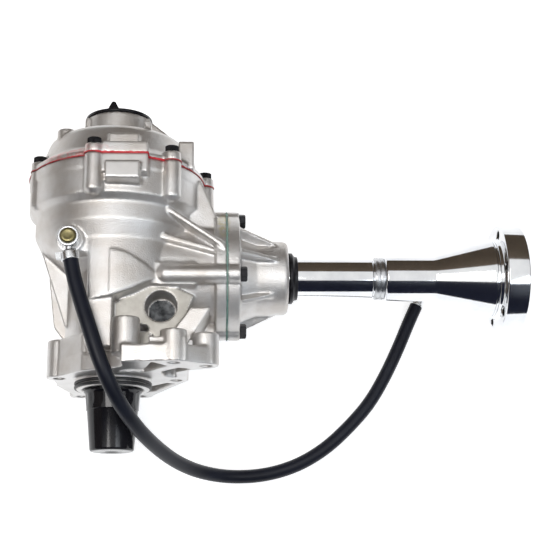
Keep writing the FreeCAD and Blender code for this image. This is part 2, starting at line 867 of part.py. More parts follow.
def extension_bolts():
    shank = cell.nose_plate + cell.bead_gap + cell.bolt_engagement
    bolts = [flange_bolt(f"nose_bolt_{index}", (nose_seat, y, z), "X", shank)
             for index, (y, z) in enumerate(nose_bolt_spots)]
    return group("nose_bolt_set", "extension_bolts", bolts)


# ---------------------------------------------------------------- seals

def seal(label, along, base, outer, inner, width, at=(0, 0, 0)):
    """A lip seal: a pressed case with a lip that stands clear of the turning shaft."""
    gap = cell.roller_gap
    lip = turned(f"{label}_form", along, [
        (base, outer),
        (base + width, outer),
        (base + width, outer - 2.5),
        (base + 3, outer - 2.5),
        (base + 3, inner + 2.4),
        (base + width - 1, inner + 1.6),
        (base + width - 1, inner + gap),
        (base, inner + gap),
    ], at)
    return keep(lip, label)


def seals():
    seal("input_seal", "Y", -cell.spigot_length + 1, cell.input_seal_outer,
         cell.input_seal_radius, cell.lip_width)
    seal("cover_seal", "Y", cell.cover_top - 13, cell.cup_radius - 9,
         cell.input_seal_radius, cell.lip_width)
    seal("output_seal", "X", cell.nose_end - cell.lip_width, cell.tail_cup_radius,
         cell.sleeve_radius, cell.lip_width, (0, axis, 0))
    rings = []
    width = cell.seal_ring_width
    crest = cell.spigot_radius + cell.seal_ring_height
    first_top = -cell.seal_ring_lead
    for index, top in enumerate((first_top, first_top - width - cell.seal_ring_gap)):
        base = top - width
        rings.append(turned(f"spigot_ring_{index}", "Y", [
            (base, cell.spigot_radius),
            (top, cell.spigot_radius),
            (top, crest - 0.5),
            (top - 1, crest),
            (base + 1, crest),
            (base, crest - 0.5),
        ]))
    group("spigot_ring_set", "spigot_seal_rings", rings)


# ---------------------------------------------------------------- bearings

def taper_bearing(label, along, seat, width, cup_radius, bore_radius, sign, rollers, at):
    """Cup, cone and rollers; the large end of the cone faces along the sign."""
    def spot(distance):
        return seat + (width - distance) if sign > 0 else seat + distance

    gap = cell.roller_gap
    cup_wide = cup_radius - 3
    cup_thin = cup_radius - 6.5
    cone_wide = bore_radius + 6.5
    cone_thin = bore_radius + 3.5
    cup = turned(f"{label}_cup_form", along, [
        (spot(2), cup_radius),
        (spot(width), cup_radius),
        (spot(width), cup_thin),
        (spot(2), cup_wide),
    ], at)
    cone = turned(f"{label}_cone_form", along, [
        (spot(0), bore_radius),
        (spot(width - 2), bore_radius),
        (spot(width - 2), cone_thin),
        (spot(0), cone_wide),
    ], at)
    keep(cup, f"{label}_cup")
    keep(cone, f"{label}_cone")
    length = width - 6
    slope_cup = (cup_wide - cup_thin) / (width - 2)
    slope_cone = (cone_wide - cone_thin) / (width - 2)

    def band(distance):
        """Roller centre radius and roller radius at a distance along the bearing."""
        outer = cup_wide - slope_cup * (distance - 2) - gap
        inner = cone_wide - slope_cone * distance + 0.05
        return (outer + inner) / 2, (outer - inner) / 2

    start_centre, start_radius = band(sized(3))
    end_centre, end_radius = band(3 + length)
    tilt = math.atan2(end_centre.value - start_centre.value, length.value)
    shapes = []
    direction = -1 if sign > 0 else 1
    for index in range(rollers):
        angle = 2 * math.pi * index / rollers
        begin, end = spot(sized(3)).value, spot(3 + length).value
        if along == "Y":
            first = Vector(start_centre.value, begin, 0)
            last = Vector(end_centre.value, end, 0)
            turn = Rotation(Vector(0, 1, 0), math.degrees(angle))
        else:
            first = Vector(begin, start_centre.value, 0)
            last = Vector(end, end_centre.value, 0)
            turn = Rotation(Vector(1, 0, 0), math.degrees(angle))
        first = turn.multVec(first)
        last = turn.multVec(last)
        run = last - first
        roller = Part.makeCone(start_radius.value * math.cos(tilt) - 0.02,
                               end_radius.value * math.cos(tilt) - 0.02,
                               run.Length, first, run)
        roller.translate(Vector(*(sized(value).value for value in at)))
        shapes.append(roller)
    keep_shape(Part.makeCompound(shapes), f"{label}_rollers")


def bearings():
    here = (0, 0, 0)
    line = (0, axis, 0)
    journal = cell.input_journal_radius
    taper_bearing("lower_bearing", "Y", cell.lower_bearing_seat, cell.bearing_width,
                  cell.cup_radius, journal, 1, 16, here)
    taper_bearing("upper_bearing", "Y", cell.upper_bearing_seat, cell.bearing_width,
                  cell.cup_radius, journal, -1, 16, here)
    taper_bearing("head_bearing", "X", cell.pinion_bearing_seat, cell.bearing_width,
                  cell.cup_radius, cell.pinion_journal_radius, -1, 16, line)
    taper_bearing("tail_bearing", "X", cell.tail_bearing_seat, cell.tail_bearing_width,
                  cell.tail_cup_radius, cell.tail_journal_radius, 1, 14, line)


# ---------------------------------------------------------------- bevel pair

def bevel_outline(teeth, mate, axial, clearance_angle):
    """Corners of a straight bevel gear's outline on the plane at an axial distance.

    Each flank is an involute of the gear's virtual spur gear on the back cone, and
    every corner lies on a line through the apex, so the outline only scales with
    its distance from there.
    """
    pitch_angle = math.atan2(teeth, mate)
    cone_distance = cell.ring_pitch_radius.value / math.sin(
        math.atan2(SIZES["ring_teeth"], SIZES["pinion_teeth"]))
    module = 2 * cell.ring_pitch_radius.value / SIZES["ring_teeth"]
    back = cone_distance * math.tan(pitch_angle)
    pressure = math.radians(20)
    base = back * math.cos(pressure)
    involute = math.tan(pressure) - pressure
    half_pitch = math.pi * module / 4 - cell.backlash.value / 4
    addendum = 0.8 * module
    dedendum = 1.05 * module
    steps = 3
    flank = []
    for step in range(steps + 1):
        height = -dedendum + (addendum + dedendum) * step / steps
        radius = back + height
        ratio = min(1.0, base / radius)
        roll = math.acos(ratio)
        half_angle = half_pitch / back + involute - (math.tan(roll) - roll)
        cone_angle = pitch_angle + math.atan2(height, cone_distance)
        flank.append((axial * math.tan(cone_angle), half_angle / math.cos(pitch_angle)))
    corners = []
    for index in range(teeth):
        centre = 2 * math.pi * index / teeth + clearance_angle
        for radius, half_angle in flank:
            corners.append((radius, centre - half_angle))
        for radius, half_angle in reversed(flank):
            corners.append((radius, centre + half_angle))
    return corners


def bevel_solid(teeth, mate, phase, overrun=0.0):
    """The toothed frustum of one gear, with its apex at the origin and its axis on +Z.

    The overrun lengthens the wide end, for a gear that is then trimmed to a rim.
    """
    pitch_angle = math.atan2(teeth, mate)
    wide = cell.ring_pitch_radius.value * mate / SIZES["ring_teeth"]
    inner = wide - cell.face_width.value * math.cos(pitch_angle)
    outer = wide + overrun
    rims = []
    for axial in (inner, outer):
        corners = bevel_outline(teeth, mate, axial, phase)
        rims.append([Vector(radius * math.cos(angle), radius * math.sin(angle), axial)
                     for radius, angle in corners])
    faces = [Part.Face(Part.makePolygon(rim + rim[:1])) for rim in rims]
    near, far = rims
    for index in range(len(near)):
        after = (index + 1) % len(near)
        quad = [near[index], near[after], far[after], far[index], near[index]]
        faces.append(Part.Face(Part.makePolygon(quad)))
    return Part.makeSolid(Part.makeShell(faces)), inner, outer


def ring_gear():
    """The ring gear: teeth towards the pinion, a flat back bolted to the carrier."""
    trim = cell.ring_trim_radius.value
    ring, inner, outer = bevel_solid(SIZES["ring_teeth"], SIZES["pinion_teeth"], 0,
                                     cell.rim_overrun.value)
    bore = cell.input_body_radius.value + 9
    seat = cell.carrier_seat.value - axis.value
    body = Part.makeCylinder(trim, seat - outer, Vector(0, 0, outer))
    solid = ring.fuse(body).common(Part.makeCylinder(trim, seat))
    solid = solid.cut(Part.makeCylinder(bore, seat))
    for index in range(8):
        x, y = polar(cell.ring_bolt_circle.value, 45 * index)
        hole = Part.makeCylinder(bolt_hole.value, 9, Vector(x, y, seat - 9))
        solid = solid.cut(hole)
    solid = solid.removeSplitter()
    solid.rotate(Vector(), Vector(1, 0, 0), -90)
    solid.translate(Vector(0, axis.value, 0))
    return keep_shape(solid, "ring_gear")


def pinion_shaft():
    """The pinion and its stem in one piece: journals, spline and thread end."""
    phase = math.pi / 2 + math.pi / SIZES["pinion_teeth"]
    head, inner, outer = bevel_solid(SIZES["pinion_teeth"], SIZES["ring_teeth"], phase)
    journal = cell.pinion_journal_radius.value
    head_back = cell.pinion_bearing_seat.value + cell.bearing_width.value - 2
    tail_front = cell.tail_bearing_seat.value + 2
    stem = [
        (outer, cell.pinion_bearing_seat.value, journal + 1.5),
        (cell.pinion_bearing_seat.value, head_back, journal),
        (head_back, tail_front, cell.tail_journal_radius.value + 1.5),
        (tail_front, cell.tail_bearing_seat.value + cell.tail_bearing_width.value,
         cell.tail_journal_radius.value),
        (cell.tail_bearing_seat.value + cell.tail_bearing_width.value,
         cell.snap_ring_end.value + 12, cell.pinion_spline_radius.value),
        (cell.snap_ring_end.value + 12, cell.snap_ring_end.value + 28,
         cell.pinion_spline_radius.value - 1.5),
    ]
    solid = head
    for begin, end, radius in stem:
        solid = solid.fuse(Part.makeCylinder(radius, end - begin, Vector(0, 0, begin)))
    solid = solid.removeSplitter()
    solid.rotate(Vector(), Vector(0, 1, 0), 90)
    solid.translate(Vector(0, axis.value, 0))
    return keep_shape(solid, "pinion_shaft")


# ---------------------------------------------------------------- input line

def toothed_rod(name, teeth, radius, depth, length, at, along):
    """A splined stub: a rod with straight grooves spaced round it."""
    stub = rod(f"{name}_stub", radius, length, at, along)
    grooves = []
    for index in range(teeth):
        dx, dz = polar(radius, 360 * index / teeth)
        spot = list(at)
        spot[0] = sized(spot[0]) + dx
        spot[2] = sized(spot[2]) + dz
        grooves.append(rod(f"{name}_groove_{index}", depth, length, spot, along))
    return carve(name, stub, grooves)


def input_shaft():
    """The hollow shaft with its splined end, two journals and the ring gear carrier."""
    journal = cell.input_journal_radius
    body = cell.input_body_radius
    lower_shoulder = cell.lower_bearing_seat + cell.bearing_width
    carrier_back = cell.carrier_seat + cell.carrier_thickness
    form = turned("input_form", "Y", [
        (-cell.spigot_length - 4, cell.input_bore_radius),
        (-cell.spigot_length - 4, cell.input_seal_radius),
        (lower_shoulder - cell.bearing_width, cell.input_seal_radius),
        (lower_shoulder - cell.bearing_width, journal),
        (lower_shoulder, journal),
        (lower_shoulder, body),
        (cell.carrier_seat - 12, body),
        (cell.carrier_seat - 12, body + 8.9),
        (cell.carrier_seat, body + 8.9),
        (cell.carrier_seat, cell.carrier_radius),
        (carrier_back, cell.carrier_radius),
        (carrier_back, body + 8),
        (carrier_back + 10, body),
        (cell.upper_bearing_seat, body),
        (cell.upper_bearing_seat, journal),
        (cell.upper_bearing_seat + cell.bearing_width + 2, journal),
        (cell.upper_bearing_seat + cell.bearing_width + 2, cell.input_seal_radius),
        (cell.cover_top - 6, cell.input_seal_radius),
        (cell.cover_top - 4, cell.input_seal_radius - 2),
        (cell.cover_top - 4, cell.input_bore_radius),
    ])
    spline_length = cell.spline_reach - cell.spigot_length - 4
    spline = toothed_rod("input_spline", SIZES["spline_teeth"], cell.spline_radius,
                         cell.spline_depth, spline_length, (0, -cell.spline_reach, 0), "Y")
    bore = rod("input_bore", cell.input_bore_radius, cell.cover_top + cell.spline_reach,
               (0, -cell.spline_reach, 0))
    holes = []
    for index in range(8):
        x, z = polar(cell.ring_bolt_circle, 45 * index)
        holes.append(rod(f"carrier_hole_{index}", bolt_hole, cell.carrier_thickness,
                         (x, cell.carrier_seat, z)))
    return keep(carve("input_turned", join("input_solid", [form, spline]), [bore] + holes),
                "input_shaft")


def ring_gear_bolts():
    seat = cell.carrier_seat + cell.carrier_thickness
    bolts = []
    for index in range(8):
        x, z = polar(cell.ring_bolt_circle, 45 * index)
        bolts.append(flange_bolt(f"gear_bolt_{index}", (x, seat, z), "Y",
                                 cell.carrier_thickness + 8))
    return group("gear_bolt_set", "ring_gear_bolts", bolts)


# ---------------------------------------------------------------- output line

def output_line():
    """Spacer, sleeve, snap ring, companion flange and nut on the pinion stem."""
    head_back = cell.pinion_bearing_seat + cell.bearing_width - 2
    tail_front = cell.tail_bearing_seat + 2
    tail_back = cell.tail_bearing_seat + cell.tail_bearing_width
    line = (0, axis, 0)
    slip = 0.05
    stem = cell.tail_journal_radius + 1.5 + slip
    keep(turned("spacer_form", "X", [
        (head_back, stem),
        (head_back, stem + 3.5),
        (head_back + 16, stem + 3.5),
        (head_back + 22, stem + 5.5),
        (head_back + 30, stem + 5.5),
        (head_back + 36, stem + 3.5),
        (tail_front, stem + 3.5),
        (tail_front, stem),
    ], line), "crush_spacer")
    bore = cell.pinion_spline_radius + slip
    keep(turned("sleeve_form", "X", [
        (tail_back, bore),
        (tail_back, cell.sleeve_radius),
        (cell.nose_end + 9, cell.sleeve_radius),
        (cell.sleeve_end - 3, cell.sleeve_radius),
        (cell.sleeve_end, cell.sleeve_radius - 0.8),
        (cell.sleeve_end, bore),
    ], line), "output_shaft")
    keep(turned("slinger_form", "X", [
        (cell.nose_end + 1, cell.sleeve_radius),
        (cell.nose_end + 1, cell.sleeve_radius + 5),
        (cell.nose_end + 4, cell.sleeve_radius + 5),
        (cell.nose_end + 9, cell.sleeve_radius + 1.2),
        (cell.nose_end + 9, cell.sleeve_radius),
    ], line), "dust_slinger")
    keep(turned("snap_ring_form", "X", [
        (cell.sleeve_end, bore),
        (cell.sleeve_end, cell.sleeve_radius + 0.5),
        (cell.sleeve_end + 1, cell.sleeve_radius + 1),
        (cell.snap_ring_end - 1, cell.sleeve_radius + 1),
        (cell.snap_ring_end, cell.sleeve_radius + 0.5),
        (cell.snap_ring_end, bore),
    ], line), "retaining_ring")
    hub = cell.hub_radius
    cone = cell.hub_cone_radius
    nut_seat = cell.snap_ring_end + 12
    flange = turned("hub_form", "X", [
        (cell.snap_ring_end, bore),
        (cell.snap_ring_end, hub - 1.5),
        (cell.snap_ring_end + 1.5, hub),
        (cell.hub_cone_start, hub),
        (cell.disc_back - 6, cone),
        (cell.disc_back - 6, cone - 2),
        (cell.disc_back - 3, cone - 2),
        (cell.disc_back - 3, cone),
        (cell.disc_back, cone + 1),
        (cell.disc_back, cell.disc_radius - 1),
        (cell.disc_back + 1, cell.disc_radius),
        (cell.disc_front - 1, cell.disc_radius),
        (cell.disc_front, cell.disc_radius - 1),
        (cell.disc_front, cell.pilot_radius),
        (cell.disc_front - cell.pilot_depth, cell.pilot_radius),
        (cell.disc_back - 4, cone - cell.hub_wall - 1),
        (cell.hub_cone_start + 6, cell.hub_bore_radius),
        (nut_seat, cell.hub_bore_radius),
        (nut_seat, bore),
    ], line)
    holes = []
    for index in range(6):
        y, z = polar(cell.disc_bolt_circle, 30 + 60 * index)
        holes.append(rod(f"disc_hole_{index}", cell.disc_bolt_radius,
                         cell.disc_front - cell.disc_back, (cell.disc_back, axis + y, z), "X"))
    keep(carve("hub", flange, holes), "companion_flange")
    nut = hex_prism("nut_form", cell.nut_flats, cell.nut_length, (nut_seat, axis, 0), "X")
    thread = rod("nut_thread", cell.pinion_spline_radius - 1.5 + slip, cell.nut_length,
                 (nut_seat, axis, 0), "X")
    keep(carve("nut", nut, [thread]), "pinion_nut")


# ---------------------------------------------------------------- plugs, pins and shims

def plugs_and_pins():
    """Filler and drain plugs on the rear of the barrel, their washers, and the dowels."""
    seat = -cell.plug_seat_depth
    thick = cell.washer_thickness
    radius = cell.plug_radius
    plugs = []
    washers = []
    for name, (x, y) in PLUG_SPOTS.items():
        plugs.append(join(f"{name}_plug", [
            hex_prism(f"{name}_head", 2 * radius, 5, (x, y, seat - thick), "-Z"),
            rod(f"{name}_collar", radius + 2, 1.6, (x, y, seat - thick), "-Z"),
            rod(f"{name}_stem", radius, 11 + thick, (x, y, seat - thick), "Z"),
        ]))
        washers.append(carve(f"{name}_washer", rod(f"{name}_disc", radius + 3, thick,
                                                   (x, y, seat), "-Z"),
                             [rod(f"{name}_window", radius + 0.1, thick, (x, y, seat), "-Z")]))
    group("plug_set", "drain_and_fill_plugs", plugs)
    group("washer_set", "plug_washers", washers)
    pins = []
    for index, (x, z) in enumerate(dowel_spots):
        pins.append(rod(f"dowel_{index}", cell.dowel_radius, 2 * cell.dowel_depth,
                        (x, parting - cell.dowel_depth, z)))
    group("dowel_set", "dowel_pins", pins)


# ---------------------------------------------------------------- breather

HOSE_ROUTE = (
    (-34, 99.5, 72),
    (-31, 82, 72.5),
    (-24.5, 60, 74),
    (-15, 32, 77),
    (-4, -1, 76),
    (10, -30, 61),
    (26, -50, 31),
    (42, -62, -8),
    (58, -70, -43),
    (79, -76, -71),
    (107, -79, -88),
    (140, -77, -93.5),
    (172, -68, -93.5),
    (201, -51, -93.5),
    (225, -29, -93.5),
    (245, -7, -93.5),
    (262, 21, -93.5),
    (277, 51, -93.5),
    (288, 76, -93.5),
    (296, 92, -93.5),
)


def rounded_path(route):
    """Straight runs joined by tangent arcs; prints each arc's radius."""
    points = [Vector(*spot) for spot in route]
    edges = []
    start = points[0]
    radii = []
    for before, corner, after in zip(points, points[1:], points[2:]):
        back = before - corner
        ahead = after - corner
        shorter = min(back.Length, ahead.Length)
        turn = math.pi - back.getAngle(ahead)
        radius = 0.45 * shorter / math.tan(turn / 2)
        radii.append(round(radius, 1))
        back.normalize()
        ahead.normalize()
        entry = corner + back * (0.45 * shorter)
        leave = corner + ahead * (0.45 * shorter)
        bisector = back + ahead
        bisector.normalize()
        centre = corner + bisector * (radius / math.cos(turn / 2))
        middle = centre - bisector * radius
        edges.append(Part.LineSegment(start, entry).toShape())
        edges.append(Part.Arc(entry, middle, leave).toShape())
        start = leave
    edges.append(Part.LineSegment(start, points[-1]).toShape())
    print("hose radii", radii)
    return Part.Wire(edges)


def breather_hose():
    """The rubber vent hose along its route, printed with its length and volume."""
    path = rounded_path(HOSE_ROUTE)
    start = Vector(*HOSE_ROUTE[0])
    direction = Vector(*HOSE_ROUTE[1]) - start
    circle = Part.Wire(Part.makeCircle(cell.hose_radius.value, start, direction))
    hose = path.makePipeShell([circle], True, False)
    section = math.pi * cell.hose_radius.value ** 2
    print("hose length", round(path.Length, 1), "volume ratio",
          round(hose.Volume / (section * path.Length), 4))
    return keep_shape(hose, "breather_hose")


def breather_fitting():
    """Swivel fitting, hollow bolt, hose clamp and the cap on the hose's far end."""
    x, y, seat = cell.breather_x, cell.breather_y, cell.breather_seat
    end = Vector(*HOSE_ROUTE[0])
    lead = Vector(*HOSE_ROUTE[1]) - end
    lead.normalize()
    barb_start = Vector(x.value, y.value, end.z)
    reach = (end - barb_start).Length - 0.3
    barb = Part.makeCylinder(cell.barb_radius.value, reach, barb_start, end - barb_start)
    hub = Part.makeCylinder(cell.banjo_radius.value, cell.banjo_height.value,
                            Vector(x.value, y.value, seat.value))
    hole = Part.makeCylinder(cell.banjo_radius.value - 4, cell.banjo_height.value,
                             Vector(x.value, y.value, seat.value))
    fitting = hub.fuse(barb).cut(hole).removeSplitter()
    keep_shape(fitting, "breather_fitting")
    bolt = join("banjo_bolt", [
        rod("banjo_stem", cell.banjo_radius - 4.3, cell.banjo_height + 8, (x, y, seat - 8), "Z"),
        taper("banjo_head", cell.banjo_radius - 2.6, cell.banjo_radius - 3.6, 2.4,
              (x, y, seat + cell.banjo_height), "Z"),
    ])
    keep(bolt, "breather_bolt")
    band_start = end + lead
    outer = Part.makeCylinder(cell.hose_radius.value + 1.4, 7.5, band_start, lead)
    inner = Part.makeCylinder(cell.hose_radius.value + 0.1, 7.5, band_start, lead)
    ear = Part.makeBox(6, 7.5, 7, Vector(-13, -7.5, -3.5) + band_start)
    clamp = outer.fuse(ear).cut(inner).removeSplitter()
    keep_shape(clamp, "hose_clamp")
    tail = Vector(*HOSE_ROUTE[-1])
    run = tail - Vector(*HOSE_ROUTE[-2])
    run.normalize()
    cap = Part.makeCylinder(cell.hose_radius.value - 1.5, 9, tail, run)
    lip = Part.makeCylinder(cell.hose_radius.value, 2.5, tail, run)
    keep_shape(cap.fuse(lip).removeSplitter(), "breather_end")


# ---------------------------------------------------------------- shipping caps

def input_cap():
    """The long fluted cap over the splined end of the input shaft."""
    base = -cell.spigot_length - cell.cap_collar_gap
    end = base - cell.cap_length
    wall = cell.cap_wall
    form = turned("cap_form", "Y", [
        (base, cell.cap_radius - wall),
        (base, cell.cap_radius + 1.5),
        (base - 2, cell.cap_radius + 1.5),
        (base - 3, cell.cap_radius),
        (end + 2, cell.cap_end_radius),
        (end, cell.cap_end_radius - 2),
        (end, 0),
        (end + wall, 0),
        (end + wall, cell.cap_end_radius - wall),
        (end + 12, cell.cap_end_radius + 0.6 - wall + 1.2),
    ])
    return keep(form, "input_cap")


def cover_plug():
    """The plug in the cover's upper bore, with its thin lip and pull tab."""
    bore = cell.cup_radius - 9
    top = cell.cover_top
    wall = cell.cap_wall
    lip = turned("plug_form", "Y", [
        (top - 4, cell.input_seal_radius + 1.2),
        (top - 4, bore - 0.15),
        (top + 0.3, bore - 0.15),
        (top + 0.3, cell.cover_neck_radius + 0.6),
        (top + cell.plug_lip_height, cell.cover_neck_radius + 0.6),
        (top + cell.plug_lip_height, 0),
        (top + 0.8, 0),
        (top + 0.8, cell.input_seal_radius + 1.2),
    ])
    tab = pad("plug_tab", "XY_Plane", [
        (-11.5, top + cell.plug_lip_height - 0.5),
        (3.5, top + cell.plug_lip_height - 0.5),
        (-2.5, top + 14),
        (-5.5, top + 14),
    ], 2.4, (0, 0, 18))
    return keep(join("plug", [lip, tab]), "cover_plug")


# ---------------------------------------------------------------- assembly

def check_document():
    """Stops the run if any object failed or any part is not a sound solid."""
    doc.recompute()
    for thing in doc.Objects:
        if "Invalid" in thing.State or "Error" in thing.State:
            raise RuntimeError(f"{thing.Label} failed: {thing.State}")
    for thing in parts:
        shape = thing.Shape
        if shape.isNull() or not shape.isValid() or not shape.Solids:
            raise RuntimeError(f"{thing.Label} is not a sound solid")


def export_parts():
    os.makedirs("parts", exist_ok=True)
    for thing in parts:
        thing.Shape.exportStep(f"parts/{thing.Label}.step")
    print(len(parts), "parts written")


main_case()
side_cover()
cover_sealant()
cover_bolts()
extension_housing()
nose_gasket()
extension_bolts()
seals()
bearings()
ring_gear()
pinion_shaft()
input_shaft()
ring_gear_bolts()
output_line()
plugs_and_pins()
breather_hose()
breather_fitting()
input_cap()
cover_plug()
check_document()
export_parts()
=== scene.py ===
# %% [markdown]
# # A transfer case, dressed for a studio picture
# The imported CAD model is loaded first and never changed. Each cell below adds a camera, a
# light, a material or a piece that stands for one of its plain solids.

# %% Load the frame
import math
import bmesh
import bpy
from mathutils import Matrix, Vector, noise


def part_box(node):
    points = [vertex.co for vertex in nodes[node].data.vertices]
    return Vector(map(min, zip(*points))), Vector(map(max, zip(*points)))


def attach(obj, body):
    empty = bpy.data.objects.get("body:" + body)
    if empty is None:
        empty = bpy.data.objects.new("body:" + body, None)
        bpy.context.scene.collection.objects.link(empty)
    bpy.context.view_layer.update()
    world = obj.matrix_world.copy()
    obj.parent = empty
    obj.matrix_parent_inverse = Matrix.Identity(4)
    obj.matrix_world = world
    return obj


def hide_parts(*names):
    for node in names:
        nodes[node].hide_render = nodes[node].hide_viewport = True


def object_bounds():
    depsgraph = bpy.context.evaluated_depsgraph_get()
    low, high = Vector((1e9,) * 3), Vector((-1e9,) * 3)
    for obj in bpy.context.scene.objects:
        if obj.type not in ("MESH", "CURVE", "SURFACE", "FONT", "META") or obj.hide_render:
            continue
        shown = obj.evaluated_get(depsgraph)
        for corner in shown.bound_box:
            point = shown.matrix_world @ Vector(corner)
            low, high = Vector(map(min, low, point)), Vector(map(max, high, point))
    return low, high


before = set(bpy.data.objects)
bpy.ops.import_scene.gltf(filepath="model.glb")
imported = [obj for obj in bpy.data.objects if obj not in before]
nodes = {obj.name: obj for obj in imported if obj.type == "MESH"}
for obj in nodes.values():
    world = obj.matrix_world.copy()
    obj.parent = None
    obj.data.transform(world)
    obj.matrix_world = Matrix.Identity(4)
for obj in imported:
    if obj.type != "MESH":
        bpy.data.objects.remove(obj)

cad_low, cad_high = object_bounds()
scene = bpy.context.scene
scene.view_settings.view_transform = "Standard"
print("nodes in the frame:", len(nodes))

# %% [markdown]
# The camera stands high above the unit, which lies on its back, and looks down with a slight
# lean. Three turns in degrees say this more plainly than a matrix would.

# %% Camera
CAMERA_PLACE = (0.084988, -0.182603, 1.006735)
CAMERA_TURN = (15.377, -3.543, -0.892)
LENS = 72.34

camera_data = bpy.data.cameras.new("studio_camera")
camera_data.lens = LENS
camera_data.sensor_width = 36
camera_data.clip_end = 20
camera = bpy.data.objects.new("studio_camera", camera_data)
camera.location = CAMERA_PLACE
camera.rotation_euler = [math.radians(angle) for angle in CAMERA_TURN]
scene.collection.objects.link(camera)
scene.camera = camera
print("camera at", [round(v, 3) for v in camera.location])

# %% [markdown]
# The breather hose is a rubber tube that leaves the vent fitting, drops over the edge of the
# case and lies on the bench. A NURBS curve of order 3 runs smoothly past its control points,
# and a round bevel gives it its thickness.

# %% Hose
HOSE_RADIUS = 0.0065
HOSE_POINTS = (
    (-0.034, 0.0995, 0.072),
    (-0.031, 0.082, 0.0725),
    (-0.0245, 0.06, 0.074),
    (-0.015, 0.032, 0.077),
    (-0.004, -0.001, 0.076),
    (0.01, -0.03, 0.061),
    (0.026, -0.05, 0.031),
    (0.042, -0.062, -0.008),
    (0.058, -0.07, -0.043),
    (0.079, -0.076, -0.071),
    (0.107, -0.079, -0.088),
    (0.14, -0.077, -0.0935),
    (0.172, -0.068, -0.0935),
    (0.201, -0.051, -0.0935),
    (0.225, -0.029, -0.0935),
    (0.245, -0.007, -0.0935),
    (0.262, 0.021, -0.0935),
    (0.277, 0.051, -0.0935),
    (0.288, 0.076, -0.0935),
    (0.296, 0.092, -0.0935),
)


def nurbs_curve(name, points, radius):
    """A round tube along one open NURBS spline that starts and ends at its end points.

    The radius is set on the points, and the bevel multiplies it by one, so that Blender's
    bounding box of the curve, which reads the points' radius, is right too.
    """
    data = bpy.data.curves.new(name, "CURVE")
    data.dimensions = "3D"
    spline = data.splines.new("NURBS")
    spline.points.add(len(points) - 1)
    for point, place in zip(spline.points, points):
        point.co = (*place, 1)
        point.radius = radius
    spline.order_u = 3
    spline.use_endpoint_u = True
    spline.resolution_u = 10
    data.bevel_depth = 1.0
    data.bevel_resolution = 9
    data.use_fill_caps = True
    curve = bpy.data.objects.new(name, data)
    scene.collection.objects.link(curve)
    return curve


hose = nurbs_curve("vent_hose", HOSE_POINTS, HOSE_RADIUS)
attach(hose, "case")
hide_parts("breather_hose")
print("hose control points:", len(HOSE_POINTS))

# %% [markdown]
# Small builders come first, so that each step below stays short: one makes a material's node
# tree, one links a mesh, one makes a flat card, and one adds a maths node.

# %% Small builders
def node_material(name):
    """An empty node material, its node tree and its shader."""
    material = bpy.data.materials.new(name)
    material.use_nodes = True
    tree = material.node_tree
    return material, tree, tree.nodes["Principled BSDF"]


def mesh_object(name, mesh):
    """A new object for a mesh, linked to the scene."""
    thing = bpy.data.objects.new(name, mesh)
    scene.collection.objects.link(thing)
    return thing


def card(name, corners):
    """A flat card with four corners, used for the bench and the flags."""
    mesh = bpy.data.meshes.new(name)
    mesh.from_pydata(corners, [], [(0, 1, 2, 3)])
    return mesh_object(name, mesh)


def maths(tree, operation, *values):
    """The output of a maths node. Each value is a socket or a number."""
    step = tree.nodes.new("ShaderNodeMath")
    step.operation = operation
    for socket, value in zip(step.inputs, values):
        if isinstance(value, (int, float)):
            socket.default_value = value
        else:
            tree.links.new(value, socket)
    return step.outputs[0]


print("builders ready")

# %% [markdown]
# A pale bench under the unit catches its soft shadow. To the camera and to mirrors it adds a
# little light of its own, which lifts it to white and leaves the shadow readable. The Light
# Path node tells such rays from the others, so no extra light falls on the metal.

# %% Bench
BENCH_HALF = 4
BENCH_LIFT = 0.66
BENCH_GAP = 0.0003
BENCH_MIDDLE = 0.1

bench_top = cad_low.z - BENCH_GAP
near, far = BENCH_MIDDLE - BENCH_HALF, BENCH_MIDDLE + BENCH_HALF
bench = card("bench", [(near, near, bench_top), (far, near, bench_top),
                       (far, far, bench_top), (near, far, bench_top)])
bench_material, tree, shader = node_material("pale_bench")
shader.inputs["Base Color"].default_value = (0.86, 0.87, 0.88, 1)
shader.inputs["Roughness"].default_value = 0.9
shader.inputs["Specular IOR Level"].default_value = 0.1
shader.inputs["Emission Color"].default_value = (1, 1, 1, 1)
path = tree.nodes.new("ShaderNodeLightPath").outputs
seen = maths(tree, "MAXIMUM", path["Is Camera Ray"], path["Is Glossy Ray"])
tree.links.new(maths(tree, "MULTIPLY", seen, BENCH_LIFT), shader.inputs["Emission Strength"])
bench.data.materials.append(bench_material)
print("bench top at", round(bench_top, 4))

# %% [markdown]
# The world is white where it is looked at, straight or in a mirror, and a little dimmer where
# it lights the unit. One multiply-add blends the two strengths.

# %% World light
WORLD_LIGHT = 0.70

world = bpy.data.worlds.new("studio_world")
scene.world = world
world.use_nodes = True
tree = world.node_tree
sky = tree.nodes["Background"]
sky.inputs["Color"].default_value = (1, 1, 1, 1)
path = tree.nodes.new("ShaderNodeLightPath").outputs
mirrored = maths(tree, "MAXIMUM", path["Is Camera Ray"], path["Is Glossy Ray"])
shown = maths(tree, "MAXIMUM", mirrored, path["Is Transmission Ray"])
strength = maths(tree, "MULTIPLY_ADD", shown, 1 - WORLD_LIGHT, WORLD_LIGHT)
tree.links.new(strength, sky.inputs["Strength"])
print("world lights at", WORLD_LIGHT)

# %% [markdown]
# Two soft lamps model the forms: a warm key high on the left and a cooler fill from the front
# right. Large area lamps give shadows with soft edges.

# %% Lamps
MIDDLE = (0.1, 0.09, 0)


def lamp(name, place, size, power, colour):
    """A square area lamp at a place, turned towards the middle of the unit."""
    data = bpy.data.lights.new(name, "AREA")
    data.size = size
    data.energy = power
    data.color = colour
    thing = bpy.data.objects.new(name, data)
    thing.location = place
    aim = Vector(MIDDLE) - Vector(place)
    thing.rotation_mode = "QUATERNION"
    thing.rotation_quaternion = aim.to_track_quat("-Z", "Y")
    scene.collection.objects.link(thing)


